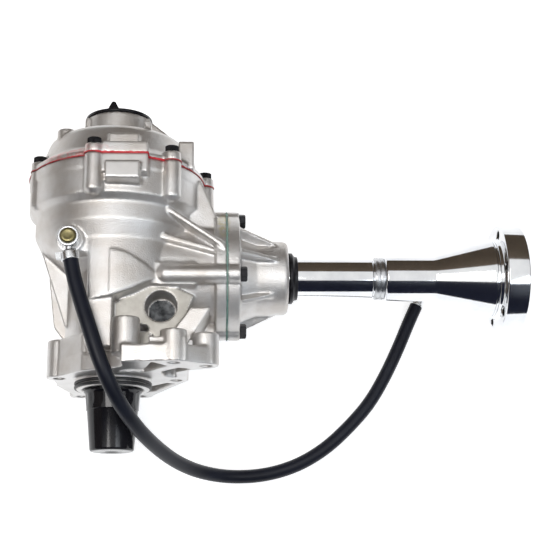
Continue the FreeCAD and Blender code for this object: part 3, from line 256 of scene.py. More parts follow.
lamp("key_lamp", (-0.30, -0.12, 1.6), size=0.7, power=10.5, colour=(1, 0.98, 0.96))
lamp("fill_lamp", (0.9, -0.6, 1.2), size=0.8, power=8, colour=(0.86, 0.93, 1))

# %% [markdown]
# Polished metal looks flat in an all-white room. Studios stand dark cards, called flags,
# round the object, so that bright steel has something dark to mirror. The camera doesn't
# see them; only reflections and the light do.

# %% Flags
FLAG_LOW = cad_low.z + 0.05
FLAG_TOP = 1.0
SIDE_LOW = cad_low.z + 0.1
SIDE_TOP = 0.8
FLAGS = {
    # name: corners of the leaning card, its colour
    "front_flag": (((-1.2, -0.75, FLAG_LOW), (1.5, -0.75, FLAG_LOW),
                    (1.5, -0.36, FLAG_TOP), (-1.2, -0.36, FLAG_TOP)), (0.014, 0.018, 0.042)),
    "back_flag": (((-1.2, 0.95, FLAG_LOW), (1.5, 0.95, FLAG_LOW),
                   (1.5, 0.60, FLAG_TOP), (-1.2, 0.60, FLAG_TOP)), (0.13, 0.095, 0.065)),
    "left_flag": (((-1.0, -0.9, SIDE_LOW), (-1.0, 1.0, SIDE_LOW),
                   (-0.8, 1.0, SIDE_TOP), (-0.8, -0.9, SIDE_TOP)), (0.20, 0.155, 0.12)),
    "right_flag": (((1.3, -0.9, SIDE_LOW), (1.3, 1.0, SIDE_LOW),
                    (1.1, 1.0, SIDE_TOP), (1.1, -0.9, SIDE_TOP)), (0.07, 0.065, 0.06)),
}
for name, (corners, colour) in FLAGS.items():
    thing = card(name, corners)
    material, _, shader = node_material(name)
    shader.inputs["Base Color"].default_value = (*colour, 1)
    shader.inputs["Roughness"].default_value = 1
    thing.data.materials.append(material)
    thing.visible_camera = False
    thing.visible_shadow = False
print("flags:", list(FLAGS))

# %% [markdown]
# Materials are node trees. One helper adds a noise at a stated grain size in metres, others
# map it to colours or a range and tie it to a bump, so that each finish reads as a recipe.

# %% Material helpers
def place_noise(tree, grain, detail=3.0):
    """A noise in object space whose lumps are about one grain wide."""
    where = tree.nodes.new("ShaderNodeTexCoord")
    texture = tree.nodes.new("ShaderNodeTexNoise")
    texture.inputs["Scale"].default_value = 1 / grain
    texture.inputs["Detail"].default_value = detail
    texture.inputs["Roughness"].default_value = 0.55
    tree.links.new(where.outputs["Object"], texture.inputs["Vector"])
    return texture.outputs["Fac"]


def ramp(tree, value, low, high, start=0.35, end=0.65):
    """A two-colour ramp over a value."""
    step = tree.nodes.new("ShaderNodeValToRGB")
    step.color_ramp.elements[0].position = start
    step.color_ramp.elements[1].position = end
    step.color_ramp.elements[0].color = (*low, 1)
    step.color_ramp.elements[1].color = (*high, 1)
    tree.links.new(value, step.inputs["Fac"])
    return step.outputs["Color"]


def spread(tree, value, low, high):
    """Maps a value of 0 to 1 onto a range."""
    step = tree.nodes.new("ShaderNodeMapRange")
    step.inputs["To Min"].default_value = low
    step.inputs["To Max"].default_value = high
    tree.links.new(value, step.inputs["Value"])
    return step.outputs["Result"]


def bump(tree, shader, height, distance):
    """Ties a height to the shader's normal, over a distance in metres."""
    step = tree.nodes.new("ShaderNodeBump")
    step.inputs["Strength"].default_value = 1.0
    step.inputs["Distance"].default_value = distance
    tree.links.new(height, step.inputs["Height"])
    tree.links.new(step.outputs["Normal"], shader.inputs["Normal"])


def finish(name, low, high, metallic, rough, grain, depth, patch=0.02):
    """A finish: colour drifts between two tones, roughness varies, fine grain gives bump."""
    material, tree, shader = node_material(name)
    drift = place_noise(tree, patch)
    fine = place_noise(tree, grain, detail=2.0)
    tree.links.new(ramp(tree, drift, low, high), shader.inputs["Base Color"])
    shader.inputs["Metallic"].default_value = metallic
    tree.links.new(spread(tree, fine, rough[0], rough[1]), shader.inputs["Roughness"])
    bump(tree, shader, fine, depth)
    return material


print("material helpers ready")

# %% [markdown]
# A stain sits at one place on a casting. A vector is taken from its centre and divided by its
# half sizes, so that its length reaches one at the rim, and a noise breaks the stain up.

# %% Stain
STAIN_STRENGTH = 0.85
STAIN_GRAIN = 0.005


def vector_maths(tree, operation, vector, value=None):
    """A vector maths node on a vector and an optional constant."""
    step = tree.nodes.new("ShaderNodeVectorMath")
    step.operation = operation
    tree.links.new(vector, step.inputs[0])
    if value:
        step.inputs[1].default_value = value
    return step


def stain(material, colour, centre, half):
    """Mixes a patchy stain into a finish, inside an ellipsoid with these half sizes."""
    tree = material.node_tree
    target = tree.nodes["Principled BSDF"].inputs["Base Color"]
    clean = target.links[0].from_socket
    where = tree.nodes.new("ShaderNodeTexCoord").outputs["Object"]
    where = vector_maths(tree, "SUBTRACT", where, centre).outputs[0]
    where = vector_maths(tree, "DIVIDE", where, half).outputs[0]
    reach = vector_maths(tree, "LENGTH", where).outputs["Value"]
    fade = ramp(tree, reach, 3 * (STAIN_STRENGTH,), 3 * (0,), 0.55, 1.0)
    blot = ramp(tree, place_noise(tree, STAIN_GRAIN), 3 * (0,), 3 * (1,), 0.38, 0.6)
    mix = tree.nodes.new("ShaderNodeMix")
    mix.data_type = "RGBA"
    tree.links.new(maths(tree, "MULTIPLY", fade, blot), mix.inputs["Factor"])
    tree.links.new(clean, mix.inputs["A"])
    mix.inputs["B"].default_value = (*colour, 1)
    tree.links.new(mix.outputs["Result"], target)


print("stain helper ready")

# %% [markdown]
# Cast aluminium is pale with a fine sandy skin; where a cutter has faced it, it is brighter and
# smoother. A smear of red sealant is left on the cover and an oily stain by the nose joint.

# %% Aluminium finishes
CAST_LOOK = {"low": (0.60, 0.57, 0.54), "high": (0.73, 0.722, 0.715), "metallic": 0.9,
             "rough": (0.32, 0.54), "grain": 0.0011, "depth": 0.0003, "patch": 0.03}
cast = finish("cast_aluminium", **CAST_LOOK)
cover_cast = finish("cast_aluminium_cover", **CAST_LOOK)
stain(cover_cast, (0.72, 0.34, 0.33), centre=(-0.028, 0.190, 0.066), half=(0.046, 0.0065, 0.03))
stain(cast, (0.60, 0.55, 0.33), centre=(0.099, 0.135, 0.036), half=(0.007, 0.024, 0.03))
# The port face is milled. Its tone, darker than the cast skin, is painted shade that holds down
# the strong light on this flat.
shaded_port_face = finish("milled_port_face_painted_shade", (0.36, 0.345, 0.315), (0.42, 0.405, 0.375), 0.9,
                   rough=(0.40, 0.50), grain=0.0009, depth=0.00008, patch=0.006)
faced = finish("faced_aluminium", (0.66, 0.65, 0.64), (0.74, 0.73, 0.72), 0.9,
               rough=(0.30, 0.40), grain=0.0006, depth=0.00003)
# The port's floor is near black: painted shade that stands for the dark, unlit depth of the
# hole.
port_floor_shade = finish("port_floor_painted_shade", (0.012, 0.013, 0.015), (0.10, 0.105, 0.11), 0.8,
                     rough=(0.35, 0.5), grain=0.0011, depth=0.0001, patch=0.006)
print("aluminium finishes:", len(bpy.data.materials))

# %% [markdown]
# Steel parts are ground or turned and mirror the room; screws are black oxide, fittings are
# plated with zinc, and the washers of the plugs are copper.

# %% Steel and plated finishes
steel = finish("ground_steel", (0.52, 0.53, 0.55), (0.62, 0.63, 0.64), 1.0,
               rough=(0.22, 0.34), grain=0.0005, depth=0.00002)
polished = finish("polished_steel", (0.70, 0.71, 0.73), (0.78, 0.79, 0.80), 1.0,
                  rough=(0.07, 0.13), grain=0.0004, depth=0.000004)
oxide = finish("black_oxide", (0.012, 0.012, 0.014), (0.03, 0.03, 0.034), 0.35,
               rough=(0.30, 0.45), grain=0.0005, depth=0.00003, patch=0.004)
zinc = finish("zinc_plate", (0.70, 0.72, 0.74), (0.82, 0.83, 0.84), 1.0,
              rough=(0.2, 0.34), grain=0.0006, depth=0.00003, patch=0.005)
olive = finish("yellow_zinc", (0.16, 0.14, 0.06), (0.24, 0.21, 0.11), 0.9,
               rough=(0.25, 0.4), grain=0.0006, depth=0.00003, patch=0.004)
copper = finish("copper_washer", (0.62, 0.32, 0.20), (0.74, 0.44, 0.30), 1.0,
                rough=(0.25, 0.4), grain=0.0008, depth=0.00003)
print("finishes so far:", len(bpy.data.materials))

# %% [markdown]
# Sealant, gasket, rubber and plastic are no metals: their colour is all their own, and a lower
# specular level keeps the dark ones from looking wet.

# %% Sealant, rubber and plastic
sealant = finish("red_sealant", (0.60, 0.015, 0.03), (0.74, 0.07, 0.08), 0.0,
                 rough=(0.35, 0.5), grain=0.0012, depth=0.0002, patch=0.012)
set_sealant = finish("set_sealant", (0.26, 0.05, 0.05), (0.42, 0.16, 0.15), 0.0,
                     rough=(0.4, 0.6), grain=0.0012, depth=0.0001, patch=0.008)
gasket = finish("green_gasket", (0.16, 0.32, 0.28), (0.30, 0.44, 0.38), 0.0,
                rough=(0.4, 0.55), grain=0.0012, depth=0.0001, patch=0.012)
rubber = finish("hose_rubber", (0.006, 0.007, 0.013), (0.011, 0.013, 0.022), 0.0,
                rough=(0.36, 0.46), grain=0.0008, depth=0.00002, patch=0.03)
seal_rubber = finish("seal_rubber", (0.01, 0.01, 0.011), (0.022, 0.022, 0.024), 0.0,
                     rough=(0.38, 0.5), grain=0.0008, depth=0.00003)
plastic = finish("glossy_plastic", (0.006, 0.006, 0.008), (0.012, 0.012, 0.015), 0.0,
                 rough=(0.10, 0.18), grain=0.0012, depth=0.00002)
for material, level in ((rubber, 0.22), (plastic, 0.4), (oxide, 0.3)):
    shader = material.node_tree.nodes["Principled BSDF"]
    shader.inputs["Specular IOR Level"].default_value = level
print("materials:", len(bpy.data.materials))

# %% [markdown]
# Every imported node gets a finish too, even one that a finer piece below stands for, because
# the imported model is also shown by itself. Inner parts that nobody names are ground steel.

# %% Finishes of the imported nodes
FINISHES = {
    "cover_sealant": set_sealant, "nose_gasket": gasket, "cover_bolts": oxide,
    "extension_bolts": oxide, "input_seal": seal_rubber, "cover_seal": seal_rubber,
    "output_seal": seal_rubber, "spigot_seal_rings": seal_rubber, "output_shaft": polished,
    "dust_slinger": oxide, "retaining_ring": steel, "companion_flange": polished,
    "plug_washers": copper, "drain_and_fill_plugs": zinc, "breather_hose": rubber,
    "breather_fitting": zinc, "breather_bolt": olive, "hose_clamp": zinc,
    "breather_end": zinc, "input_cap": plastic, "cover_plug": plastic, "main_case": cast,
    "side_cover": cast, "extension_housing": cast,
}
for name, node in nodes.items():
    node.data.materials.clear()
    node.data.materials.append(FINISHES.get(name, steel))
hose.data.materials.append(rubber)
print("finished nodes:", len(nodes))

# %% [markdown]
# Most small parts here are turned on a lathe, so one helper spins a profile about an axis.
# A profile is a list of pairs, distance along the axis and radius, in millimetres. Real
# edges are never razor sharp: a second helper rounds each corner of the profile first.

# %% Lathe helpers
MM = 0.001
DIRECTIONS = {
    "X": (Vector((1, 0, 0)), Vector((0, 1, 0)), Vector((0, 0, 1))),
    "Y": (Vector((0, 1, 0)), Vector((0, 0, 1)), Vector((1, 0, 0))),
    "Z": (Vector((0, 0, 1)), Vector((1, 0, 0)), Vector((0, 1, 0))),
}


def soften(profile, radius=0.6, steps=4):
    """Rounds each inner corner of a profile with a small curve."""
    soft = [profile[0]]
    for before, corner, after in zip(profile, profile[1:], profile[2:]):
        corner = Vector(corner)
        back, ahead = Vector(before) - corner, Vector(after) - corner
        cut = min(radius, 0.4 * back.length, 0.4 * ahead.length)
        start, end = corner + back.normalized() * cut, corner + ahead.normalized() * cut
        for step in range(steps + 1):
            t = step / steps
            soft.append(tuple(start * (1 - t) ** 2 + corner * 2 * t * (1 - t) + end * t ** 2))
    return soft + [profile[-1]]


def spin(bm, profile, centre, axis="Y", steps=72, shape=None, closed=False):
    """Adds a turned form. A shape function may change the radius with the angle."""
    along, first, second = DIRECTIONS[axis] if isinstance(axis, str) else axis
    rings = []
    for distance, radius in profile:
        ring = []
        for step in range(steps):
            angle = 2 * math.pi * step / steps
            reach = shape(distance, radius, angle) if shape else radius
            offset = first * math.cos(angle) + second * math.sin(angle)
            ring.append(bm.verts.new(centre + MM * (along * distance + offset * reach)))
        rings.append(ring)
    pairs = list(zip(rings, rings[1:]))
    if closed:
        pairs.append((rings[-1], rings[0]))
    else:
        bm.faces.new(rings[0])
        bm.faces.new(rings[-1])
    for low, high in pairs:
        for index in range(steps):
            after = (index + 1) % steps
            bm.faces.new((low[index], low[after], high[after], high[index]))


print("turning axes:", list(DIRECTIONS))

# %% [markdown]
# Each form becomes a piece in the same way: its normals are set right, its faces are smoothed
# up to an angle, it is hung on the body it rides on, and the nodes it stands for are hidden.

# %% Finished pieces
def new_piece(name, bm, material, body, *replaced, sharp=35):
    """Turns a bmesh into a finished piece that rides on a body and stands for CAD nodes."""
    bmesh.ops.recalc_face_normals(bm, faces=bm.faces)
    mesh = bpy.data.meshes.new(name)
    bm.to_mesh(mesh)
    bm.free()
    mesh.polygons.foreach_set("use_smooth", [True] * len(mesh.polygons))
    mesh.set_sharp_from_angle(angle=math.radians(sharp))
    mesh.materials.append(material)
    thing = mesh_object(name, mesh)
    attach(thing, body)
    for node in replaced:
        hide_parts(node)
    print(name, "faces:", len(mesh.polygons))
    return thing


# %% [markdown]
# Several bolts or rings share one node. To find them, its mesh is walked from vertex to
# vertex, and each island that turns up is one solid with its own box.

# %% Separate solids
def solids_of(name):
    """The boxes of a node's separate solids, as pairs of corners in metres."""
    bm = bmesh.new()
    bm.from_mesh(nodes[name].data)
    bmesh.ops.remove_doubles(bm, verts=bm.verts, dist=1e-6)
    left = set(bm.verts)
    boxes = []
    while left:
        stack = [left.pop()]
        island = []
        while stack:
            vertex = stack.pop()
            island.append(vertex.co.copy())
            for edge in vertex.link_edges:
                other = edge.other_vert(vertex)
                if other in left:
                    left.remove(other)
                    stack.append(other)
        low = Vector([min(co[i] for co in island) for i in range(3)])
        high = Vector([max(co[i] for co in island) for i in range(3)])
        boxes.append((low, high))
    bm.free()
    return boxes


print("cover bolts found:", len(solids_of("cover_bolts")))

# %% [markdown]
# The case is held by flange bolts: a hexagon head on a built-in washer, with a shallow dish
# in its top. The head is spun like any turned form, and a shape function presses its side
# into a hexagon, which leaves the round chamfer that a real head has on its corners.

# %% Flange bolts
HEAD_WIDTH = 12.0
# Profiles run from the joint to the top of the head, which lies at distance 0.
WASHER = [(-7.6, 0.01), (-7.6, 8.0), (-6.6, 8.0), (-5.6, 6.5), (-5.6, 0.01)]
HEAD = [(-6.2, 7.2), (-1.5, 7.2), (-0.8, 6.75), (-0.25, 6.1), (0, 5.4), (0, 4.6),
        (-0.5, 4.1), (-0.75, 3.2), (-0.8, 0.01)]
SHANK_RADIUS, SHANK_TOP = 4, -7.4


def hexagon(flats):
    """A shape function: the radius is held inside a hexagon of this width."""
    def inside(distance, radius, angle):
        turn = angle % (math.pi / 3) - math.pi / 6
        return min(radius, flats / 2 / math.cos(turn))
    return inside


def bolt_forms(bm, boxes, axis):
    """One flange bolt in each box, its head at the box's high end."""
    index = "XYZ".index(axis)
    for low, high in boxes:
        centre = (low + high) / 2
        centre[index] = high[index]
        tip = (low[index] - high[index]) / MM
        spin(bm, soften(WASHER, 0.35), centre, axis, 48)
        spin(bm, HEAD, centre, axis, 48, hexagon(HEAD_WIDTH))
        spin(bm, [(tip, SHANK_RADIUS - 0.6), (tip + 0.8, SHANK_RADIUS),
                  (SHANK_TOP, SHANK_RADIUS)], centre, axis, 24)


for node, axis in (("cover_bolts", "Y"), ("extension_bolts", "X")):
    bm = bmesh.new()
    bolt_forms(bm, solids_of(node), axis)
    new_piece(node + "_detailed", bm, oxide, "case", node)

# %% [markdown]
# The sleeve, the ring and the hub are one bright turned line. Each is spun from its real
# profile, with small radii at the edges, since polished steel shows an edge by its glint.

# %% Shaft sleeve
OUTPUT_AXIS = Vector((0, 0.095, 0))
LINE_BORE = 13.05
SLEEVE_STEP = 0.9


def frame_box(node):
    """The low and high corners of a node, in millimetres."""
    return [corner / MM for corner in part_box(node)]


low, high = frame_box("output_shaft")
outer = (high.z - low.z) / 2
sleeve_profile = [(low.x, LINE_BORE), (low.x, outer), (high.x - 2.4, outer),
                  (high.x - 1.4, outer - SLEEVE_STEP), (high.x, outer - SLEEVE_STEP),
                  (high.x, LINE_BORE)]
bm = bmesh.new()
spin(bm, soften(sleeve_profile, 0.4), OUTPUT_AXIS, "X", 128, closed=True)
new_piece("sleeve_turned", bm, polished, "output_line", "output_shaft")

# %% [markdown]
# The retaining ring has a lower land at each end and a shallow groove between its two lips.

# %% Retaining ring
RING_LAND = 1.6
RING_GROOVE = 0.7
RING_CHAMFER = 0.9

low, high = frame_box("retaining_ring")
outer = (high.z - low.z) / 2
land, groove = outer - RING_LAND, outer - RING_GROOVE
ring_profile = [(low.x, LINE_BORE), (low.x, land), (low.x + RING_CHAMFER, land),
                (low.x + RING_CHAMFER, outer), (low.x + 4.0, outer), (low.x + 4.3, groove),
                (low.x + 5.2, groove), (low.x + 5.5, outer), (high.x - RING_CHAMFER, outer),
                (high.x - RING_CHAMFER, land), (high.x, land), (high.x, LINE_BORE)]
bm = bmesh.new()
spin(bm, soften(ring_profile, 0.3), OUTPUT_AXIS, "X", 128, closed=True)
new_piece("ring_turned", bm, steel, "output_line", "retaining_ring")

# %% [markdown]
# The companion flange widens in a long cone to a disc, with a relief groove behind the disc
# and a shallow pilot in its face. It is turned first, as on a lathe, and drilled afterwards.

# %% Companion flange
HUB_RADIUS = 21
CONE_START, CONE_END, DISC_BACK = 294.5, 346.5, 354.5
EDGE = 0.9
PILOT_RADIUS, PILOT_FLOOR = 30, 369
HOLLOW_RADIUS, HOLLOW_START = 16.5, 260.2

low, high = frame_box("companion_flange")
disc_radius = (high.z - low.z) / 2
hub_profile = [
    (low.x, LINE_BORE), (low.x, HUB_RADIUS - 1.4), (low.x + 1.6, HUB_RADIUS),
    (CONE_START, HUB_RADIUS), (CONE_END, 36.4), (348.5, 36.6), (348.8, 35.4), (350.8, 35.4),
    (351.2, 37), (DISC_BACK - 0.3, 38.2), (DISC_BACK, 41), (DISC_BACK, disc_radius - EDGE),
    (DISC_BACK + EDGE, disc_radius), (high.x - EDGE, disc_radius),
    (high.x, disc_radius - EDGE), (high.x, PILOT_RADIUS), (PILOT_FLOOR, PILOT_RADIUS),
    (350.5, 28), (300.5, HOLLOW_RADIUS), (HOLLOW_START, HOLLOW_RADIUS),
    (HOLLOW_START, LINE_BORE),
]
bm = bmesh.new()
spin(bm, soften(hub_profile, 0.8), OUTPUT_AXIS, "X", 144, closed=True)
flange = new_piece("companion_flange_turned", bm, polished, "output_line", "companion_flange")

# %% [markdown]
# The six holes are cut by a Boolean modifier, the tool for drilling. Each cutter flares at its
# ends, so that the hole gets the small chamfer of a real one.

# %% Drilled holes
HOLES = 6
HOLE_CIRCLE = 42
HOLE_RADIUS = 4.25
HOLE_CHAMFER = 1.65
DRILL = [(353.5, HOLE_RADIUS + HOLE_CHAMFER), (355.2, HOLE_RADIUS), (374.3, HOLE_RADIUS),
         (376, HOLE_RADIUS + HOLE_CHAMFER)]

bm = bmesh.new()
for index in range(HOLES):
    angle = math.radians((index + 0.5) * 360 / HOLES)
    spot = OUTPUT_AXIS + HOLE_CIRCLE * MM * Vector((0, math.cos(angle), math.sin(angle)))
    spin(bm, DRILL, spot, "X", 40)
bmesh.ops.recalc_face_normals(bm, faces=bm.faces)
drill_mesh = bpy.data.meshes.new("drills")
bm.to_mesh(drill_mesh)
bm.free()
drills = mesh_object("drills", drill_mesh)
cut = flange.modifiers.new("drill", "BOOLEAN")
cut.object = drills
cut.solver = "EXACT"
graph = bpy.context.evaluated_depsgraph_get()
drilled = bpy.data.meshes.new_from_object(flange.evaluated_get(graph))
flange.modifiers.clear()
flange.data = drilled
drilled.set_sharp_from_angle(angle=math.radians(35))
bpy.data.objects.remove(drills)
print("flange faces after drilling:", len(drilled.polygons))

# %% [markdown]
# A pressed steel slinger throws dirt off the seal. It is a thin dished washer, so its
# profile is a folded strip.

# %% Dust slinger
SLINGER = [(159.2, 18.8), (159.2, 23.2), (159.9, 23.75), (162.2, 23.75), (162.8, 23.2),
           (164.4, 20.6), (167.2, 20.1), (167.2, 18.8)]

bm = bmesh.new()
spin(bm, soften(SLINGER, 0.5), OUTPUT_AXIS, "X", 96, closed=True)
new_piece("slinger_pressed", bm, oxide, "output_line", "dust_slinger")

# %% [markdown]
# The long cap over the splined input shaft is moulded plastic. Shallow flutes stiffen its
# upper part and fade out at a small step, and its end is a flat with a soft edge.

# %% Input cap
CAP_TOP, CAP_STEP, CAP_END = -9.9, -27.5, -63.9
FLUTES = 16
FLUTE_DEPTH = 0.35
FADE_LENGTH = 6
NECK_WIDE, NECK_NARROW = 24.5, 23.3
NECK_STEPS = 11


def cap_flutes(distance, radius, angle):
    """Shallow flutes on the neck that fade out towards the step."""
    fade = min(1.0, max(0.0, (distance - CAP_STEP - 1.5) / FADE_LENGTH))
    on_neck = radius > 19.0 and distance < CAP_TOP - 3.5
    wave = 0.5 + 0.5 * math.cos(FLUTES * angle)
    return radius - (FLUTE_DEPTH * fade * wave if on_neck else 0)


cap_profile = [(CAP_TOP, 22.7), (CAP_TOP, 25.6), (CAP_TOP - 0.5, 26), (CAP_TOP - 1.6, 26),
               (CAP_TOP - 2.2, 25.5), (CAP_TOP - 3.2, 24.6)]
neck_top = CAP_TOP - 4
for step in range(NECK_STEPS + 1):
    share = step / NECK_STEPS
    cap_profile.append((neck_top + share * (CAP_STEP - neck_top),
                        NECK_WIDE + share * (NECK_NARROW - NECK_WIDE)))
cap_profile += [(CAP_STEP - 0.4, 22.9), (CAP_STEP - 0.8, 22.7), (CAP_END + 2.0, 19.7),
                (CAP_END + 0.9, 19.4), (CAP_END + 0.2, 18.7), (CAP_END, 17.6),
                (CAP_END, 6), (CAP_END + 0.5, 5.2), (CAP_END + 0.5, 0.01),
                (CAP_END + 1.8, 0.01), (CAP_END + 1.8, 17.8), (CAP_END + 12, 19.6)]
bm = bmesh.new()
spin(bm, cap_profile, Vector(), "Y", 128, cap_flutes, closed=True)
new_piece("input_cap_moulded", bm, plastic, "input_cap", "input_cap")

# %% [markdown]
# Two rubber rings sit in grooves round the spigot. Each has a crowned outer face, drawn as
# shares of the ring's half width and drops from its rim.

# %% Spigot rings
RING_DEPTH = 2.6

bm = bmesh.new()
for low, high in solids_of("spigot_seal_rings"):
    middle = (low.y + high.y) / 2 / MM
    half = (high.y - low.y) / 2 / MM
    outer = (high.x - low.x) / 2 / MM
    crown = [(-1, RING_DEPTH), (-1, 0.8), (-0.8, 0.25), (-0.3, 0), (0.3, 0), (0.8, 0.25),
             (1, 0.8), (1, RING_DEPTH)]
    spin(bm, [(middle + share * half, outer - drop) for share, drop in crown],
         Vector(), "Y", 128, closed=True)
new_piece("spigot_rings_soft", bm, seal_rubber, "case", "spigot_seal_rings")

# %% [markdown]
# The cover's upper bore is closed by a thin plastic plug with a pull tab. The plug is spun,
# and the tab is a pointed tongue, drawn as an outline and given its thickness by a second one.

# %% Cover plug
PLUG = [(244.5, 21.2), (244.5, 26.85), (248.8, 26.85), (248.8, 31.6), (251.1, 31.6),
        (251.1, 28.2), (250.3, 27.2), (250.3, 0.01), (249.3, 0.01), (249.3, 21.2)]
TAB = [(-11.5, 250.6), (3.5, 250.6), (1.6, 254.4), (-2.2, 261.8), (-3.0, 262.5), (-5.0, 262.5),
       (-5.8, 261.8), (-9.6, 254.4)]
TAB_BACK, TAB_FRONT = 18.0, 20.4

bm = bmesh.new()
spin(bm, soften(PLUG, 0.5), Vector(), "Y", 96, closed=True)
sides = [[bm.verts.new(MM * Vector((x, y, z))) for x, y in TAB] for z in (TAB_BACK, TAB_FRONT)]
for side in sides:
    bm.faces.new(side)
for index in range(len(TAB)):
    after = (index + 1) % len(TAB)
    bm.faces.new((sides[0][index], sides[0][after], sides[1][after], sides[1][index]))
new_piece("cover_plug_moulded", bm, plastic, "cover_plug", "cover_plug", sharp=40)

# %% [markdown]
# The vent leaves the case through a swivel fitting: a plated ring, held by a hollow bolt with
# a round, yellowish head. A short tube leads out of the ring into the hose.

# %% Vent fitting
VENT = Vector((-35, 112, 0)) * MM
VENT_RING = [(66, 5.6), (66, 8.9), (66.7, 9.6), (77.2, 9.6), (78, 8.8), (78, 7.2),
             (77.5, 6.6), (77.5, 5.6)]
VENT_BOLT = [(58, 0.01), (58, 5.3), (78.05, 5.3), (78.05, 6.9), (79.2, 6.9), (80.1, 6.0),
             (80.4, 4.6), (80.1, 2.2), (80.1, 0.01)]
TUBE_RADIUS = 4


def frame_along(direction):
    """A direction and two more at right angles to it, the first of them level."""
    side = direction.cross(Vector((0, 0, 1))).normalized()
    return direction, side, direction.cross(side)


hose_start = Vector(HOSE_POINTS[0])
tube_root = Vector((VENT.x, VENT.y, hose_start.z))
tube_way = hose_start - tube_root
tube_end = tube_way.length / MM - 0.4
bm = bmesh.new()
spin(bm, soften(VENT_RING, 0.5), VENT, "Z", 72, closed=True)
spin(bm, [(6, TUBE_RADIUS), (tube_end, TUBE_RADIUS), (tube_end, 3.2), (tube_end + 0.1, 0.01)],
     tube_root, frame_along(tube_way.normalized()), 32)
new_piece("vent_ring", bm, zinc, "case", "breather_fitting")
bm = bmesh.new()
spin(bm, soften(VENT_BOLT, 0.5), VENT, "Z", 48)
new_piece("vent_bolt", bm, olive, "case", "breather_bolt")

# %% [markdown]
# A sprung band grips the hose on its tube. The band is a short turned strip along the hose,
# and its two ears are small plates with a gap between them.

# %% Hose clamp
BAND = [(1.0, 6.6), (1.0, 7.5), (1.5, 7.9), (8.0, 7.9), (8.5, 7.5), (8.5, 6.6)]
# An ear as seen from above: distance along the hose, distance out to the side.
EAR = [(1.2, 6.8), (8.3, 6.8), (7.6, 12.2), (1.9, 12.2)]
EAR_THICKNESS = 1.4
EAR_DROPS = (0.4, -2.6)

hose_lead = (Vector(HOSE_POINTS[1]) - hose_start).normalized()
bm = bmesh.new()
spin(bm, soften(BAND, 0.3), hose_start, frame_along(hose_lead), 64, closed=True)
for drop in EAR_DROPS:
    under, over = [], []
    for along, out in EAR:
        corner = hose_start + MM * (hose_lead * along + Vector((-out, 0, drop)))
        under.append(bm.verts.new(corner))
        over.append(bm.verts.new(corner + MM * Vector((0, 0, EAR_THICKNESS))))
    bm.faces.new(under)
    bm.faces.new(over)
    for index in range(len(EAR)):
        after = (index + 1) % len(EAR)
        bm.faces.new((under[index], under[after], over[after], over[index]))
new_piece("clamp_sprung", bm, zinc, "case", "hose_clamp")

# %% [markdown]
# The hose's far end carries a plated plug with a lip. It lies along the last run.

# %% Hose end
END_PLUG = [(0.05, 0.01), (0.05, 6.1), (0.5, 6.4), (2.1, 6.4), (2.5, 5.9), (2.9, 4.9),
            (8.2, 4.9), (8.9, 4.3), (8.9, 3.0), (8.3, 2.6), (8.3, 0.01)]

hose_tail = Vector(HOSE_POINTS[-1])
run = (hose_tail - Vector(HOSE_POINTS[-2])).normalized()
bm = bmesh.new()
spin(bm, soften(END_PLUG, 0.3), hose_tail, frame_along(run), 48)
new_piece("hose_end_plug", bm, zinc, "case", "breather_end")

# %% [markdown]
# Forms that stand on a casting, such as a pad or a crest, start as closed blocks: a prism over
# an outline, whose roof is flat or follows a surface. Remeshing melts them into one skin.

# %% Closed blocks
def block(bm, outline, low, high):
    """A closed prism in millimetres over an outline. Its top is a height or a function."""
    floor, roof = [], []
    for x, y in outline:
        top = high(x, y) if callable(high) else high
        floor.append(bm.verts.new(MM * Vector((x, y, low))))
        roof.append(bm.verts.new(MM * Vector((x, y, top))))
    bm.faces.new(floor[::-1])
    bm.faces.new(roof)
    for index in range(len(outline)):
        after = (index + 1) % len(outline)
        bm.faces.new((floor[index], floor[after], roof[after], roof[index]))


print("block helper ready")

# %% [markdown]
# A casting has a soft radius in every corner. To get it, a copy of the solid is remeshed into
# an even skin of small cells, and that skin is then relaxed, which rounds each edge by about
# one cell and leaves flat faces flat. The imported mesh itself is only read.

# %% Cast skin
CELL = 0.0011
RELAX_ROUNDS = 5
# Slots: faced metal, the milled port face with its painted shade, and painted shade on the
# port's floor.
FACED, PORT_FACE, PORT_FLOOR_SHADE = 1, 2, 3


def cast_skin(name, node, extras=None, skin_finish=cast):
    """A rounded copy of a casting's mesh, with extra forms melted in, for the node."""
    bm = bmesh.new()
    bm.from_mesh(nodes[node].data)
    if extras:
        extra = bmesh.new()
        extras(extra)
        bmesh.ops.recalc_face_normals(extra, faces=extra.faces)
        added = bpy.data.meshes.new("extras")
        extra.to_mesh(added)
        extra.free()
        bm.from_mesh(added)
    mesh = bpy.data.meshes.new(name)
    bm.to_mesh(mesh)
    bm.free()
    skin = mesh_object(name, mesh)
    for kind, values in (
        ("REMESH", {"mode": "VOXEL", "voxel_size": CELL, "use_smooth_shade": True}),
        ("SMOOTH", {"factor": 0.5, "iterations": RELAX_ROUNDS}),
    ):
        step = skin.modifiers.new(kind.lower(), kind)
        for key, value in values.items():
            setattr(step, key, value)
    graph = bpy.context.evaluated_depsgraph_get()
    mesh = bpy.data.meshes.new_from_object(skin.evaluated_get(graph))
    skin.modifiers.clear()
    skin.data = mesh
    mesh.materials.clear()
    for material in (skin_finish, faced, shaded_port_face, port_floor_shade):
        mesh.materials.append(material)
    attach(skin, "case")
    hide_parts(node)
    print(name, "faces:", len(mesh.polygons))
    return skin


print("skin cell:", CELL)

# %% [markdown]
# Where a cutter has faced a casting, the metal is brighter. Such faces are found by where they
# lie and which way they look, and they get another of the skin's material slots. The same
# search puts painted shade on the side port's face and floor.

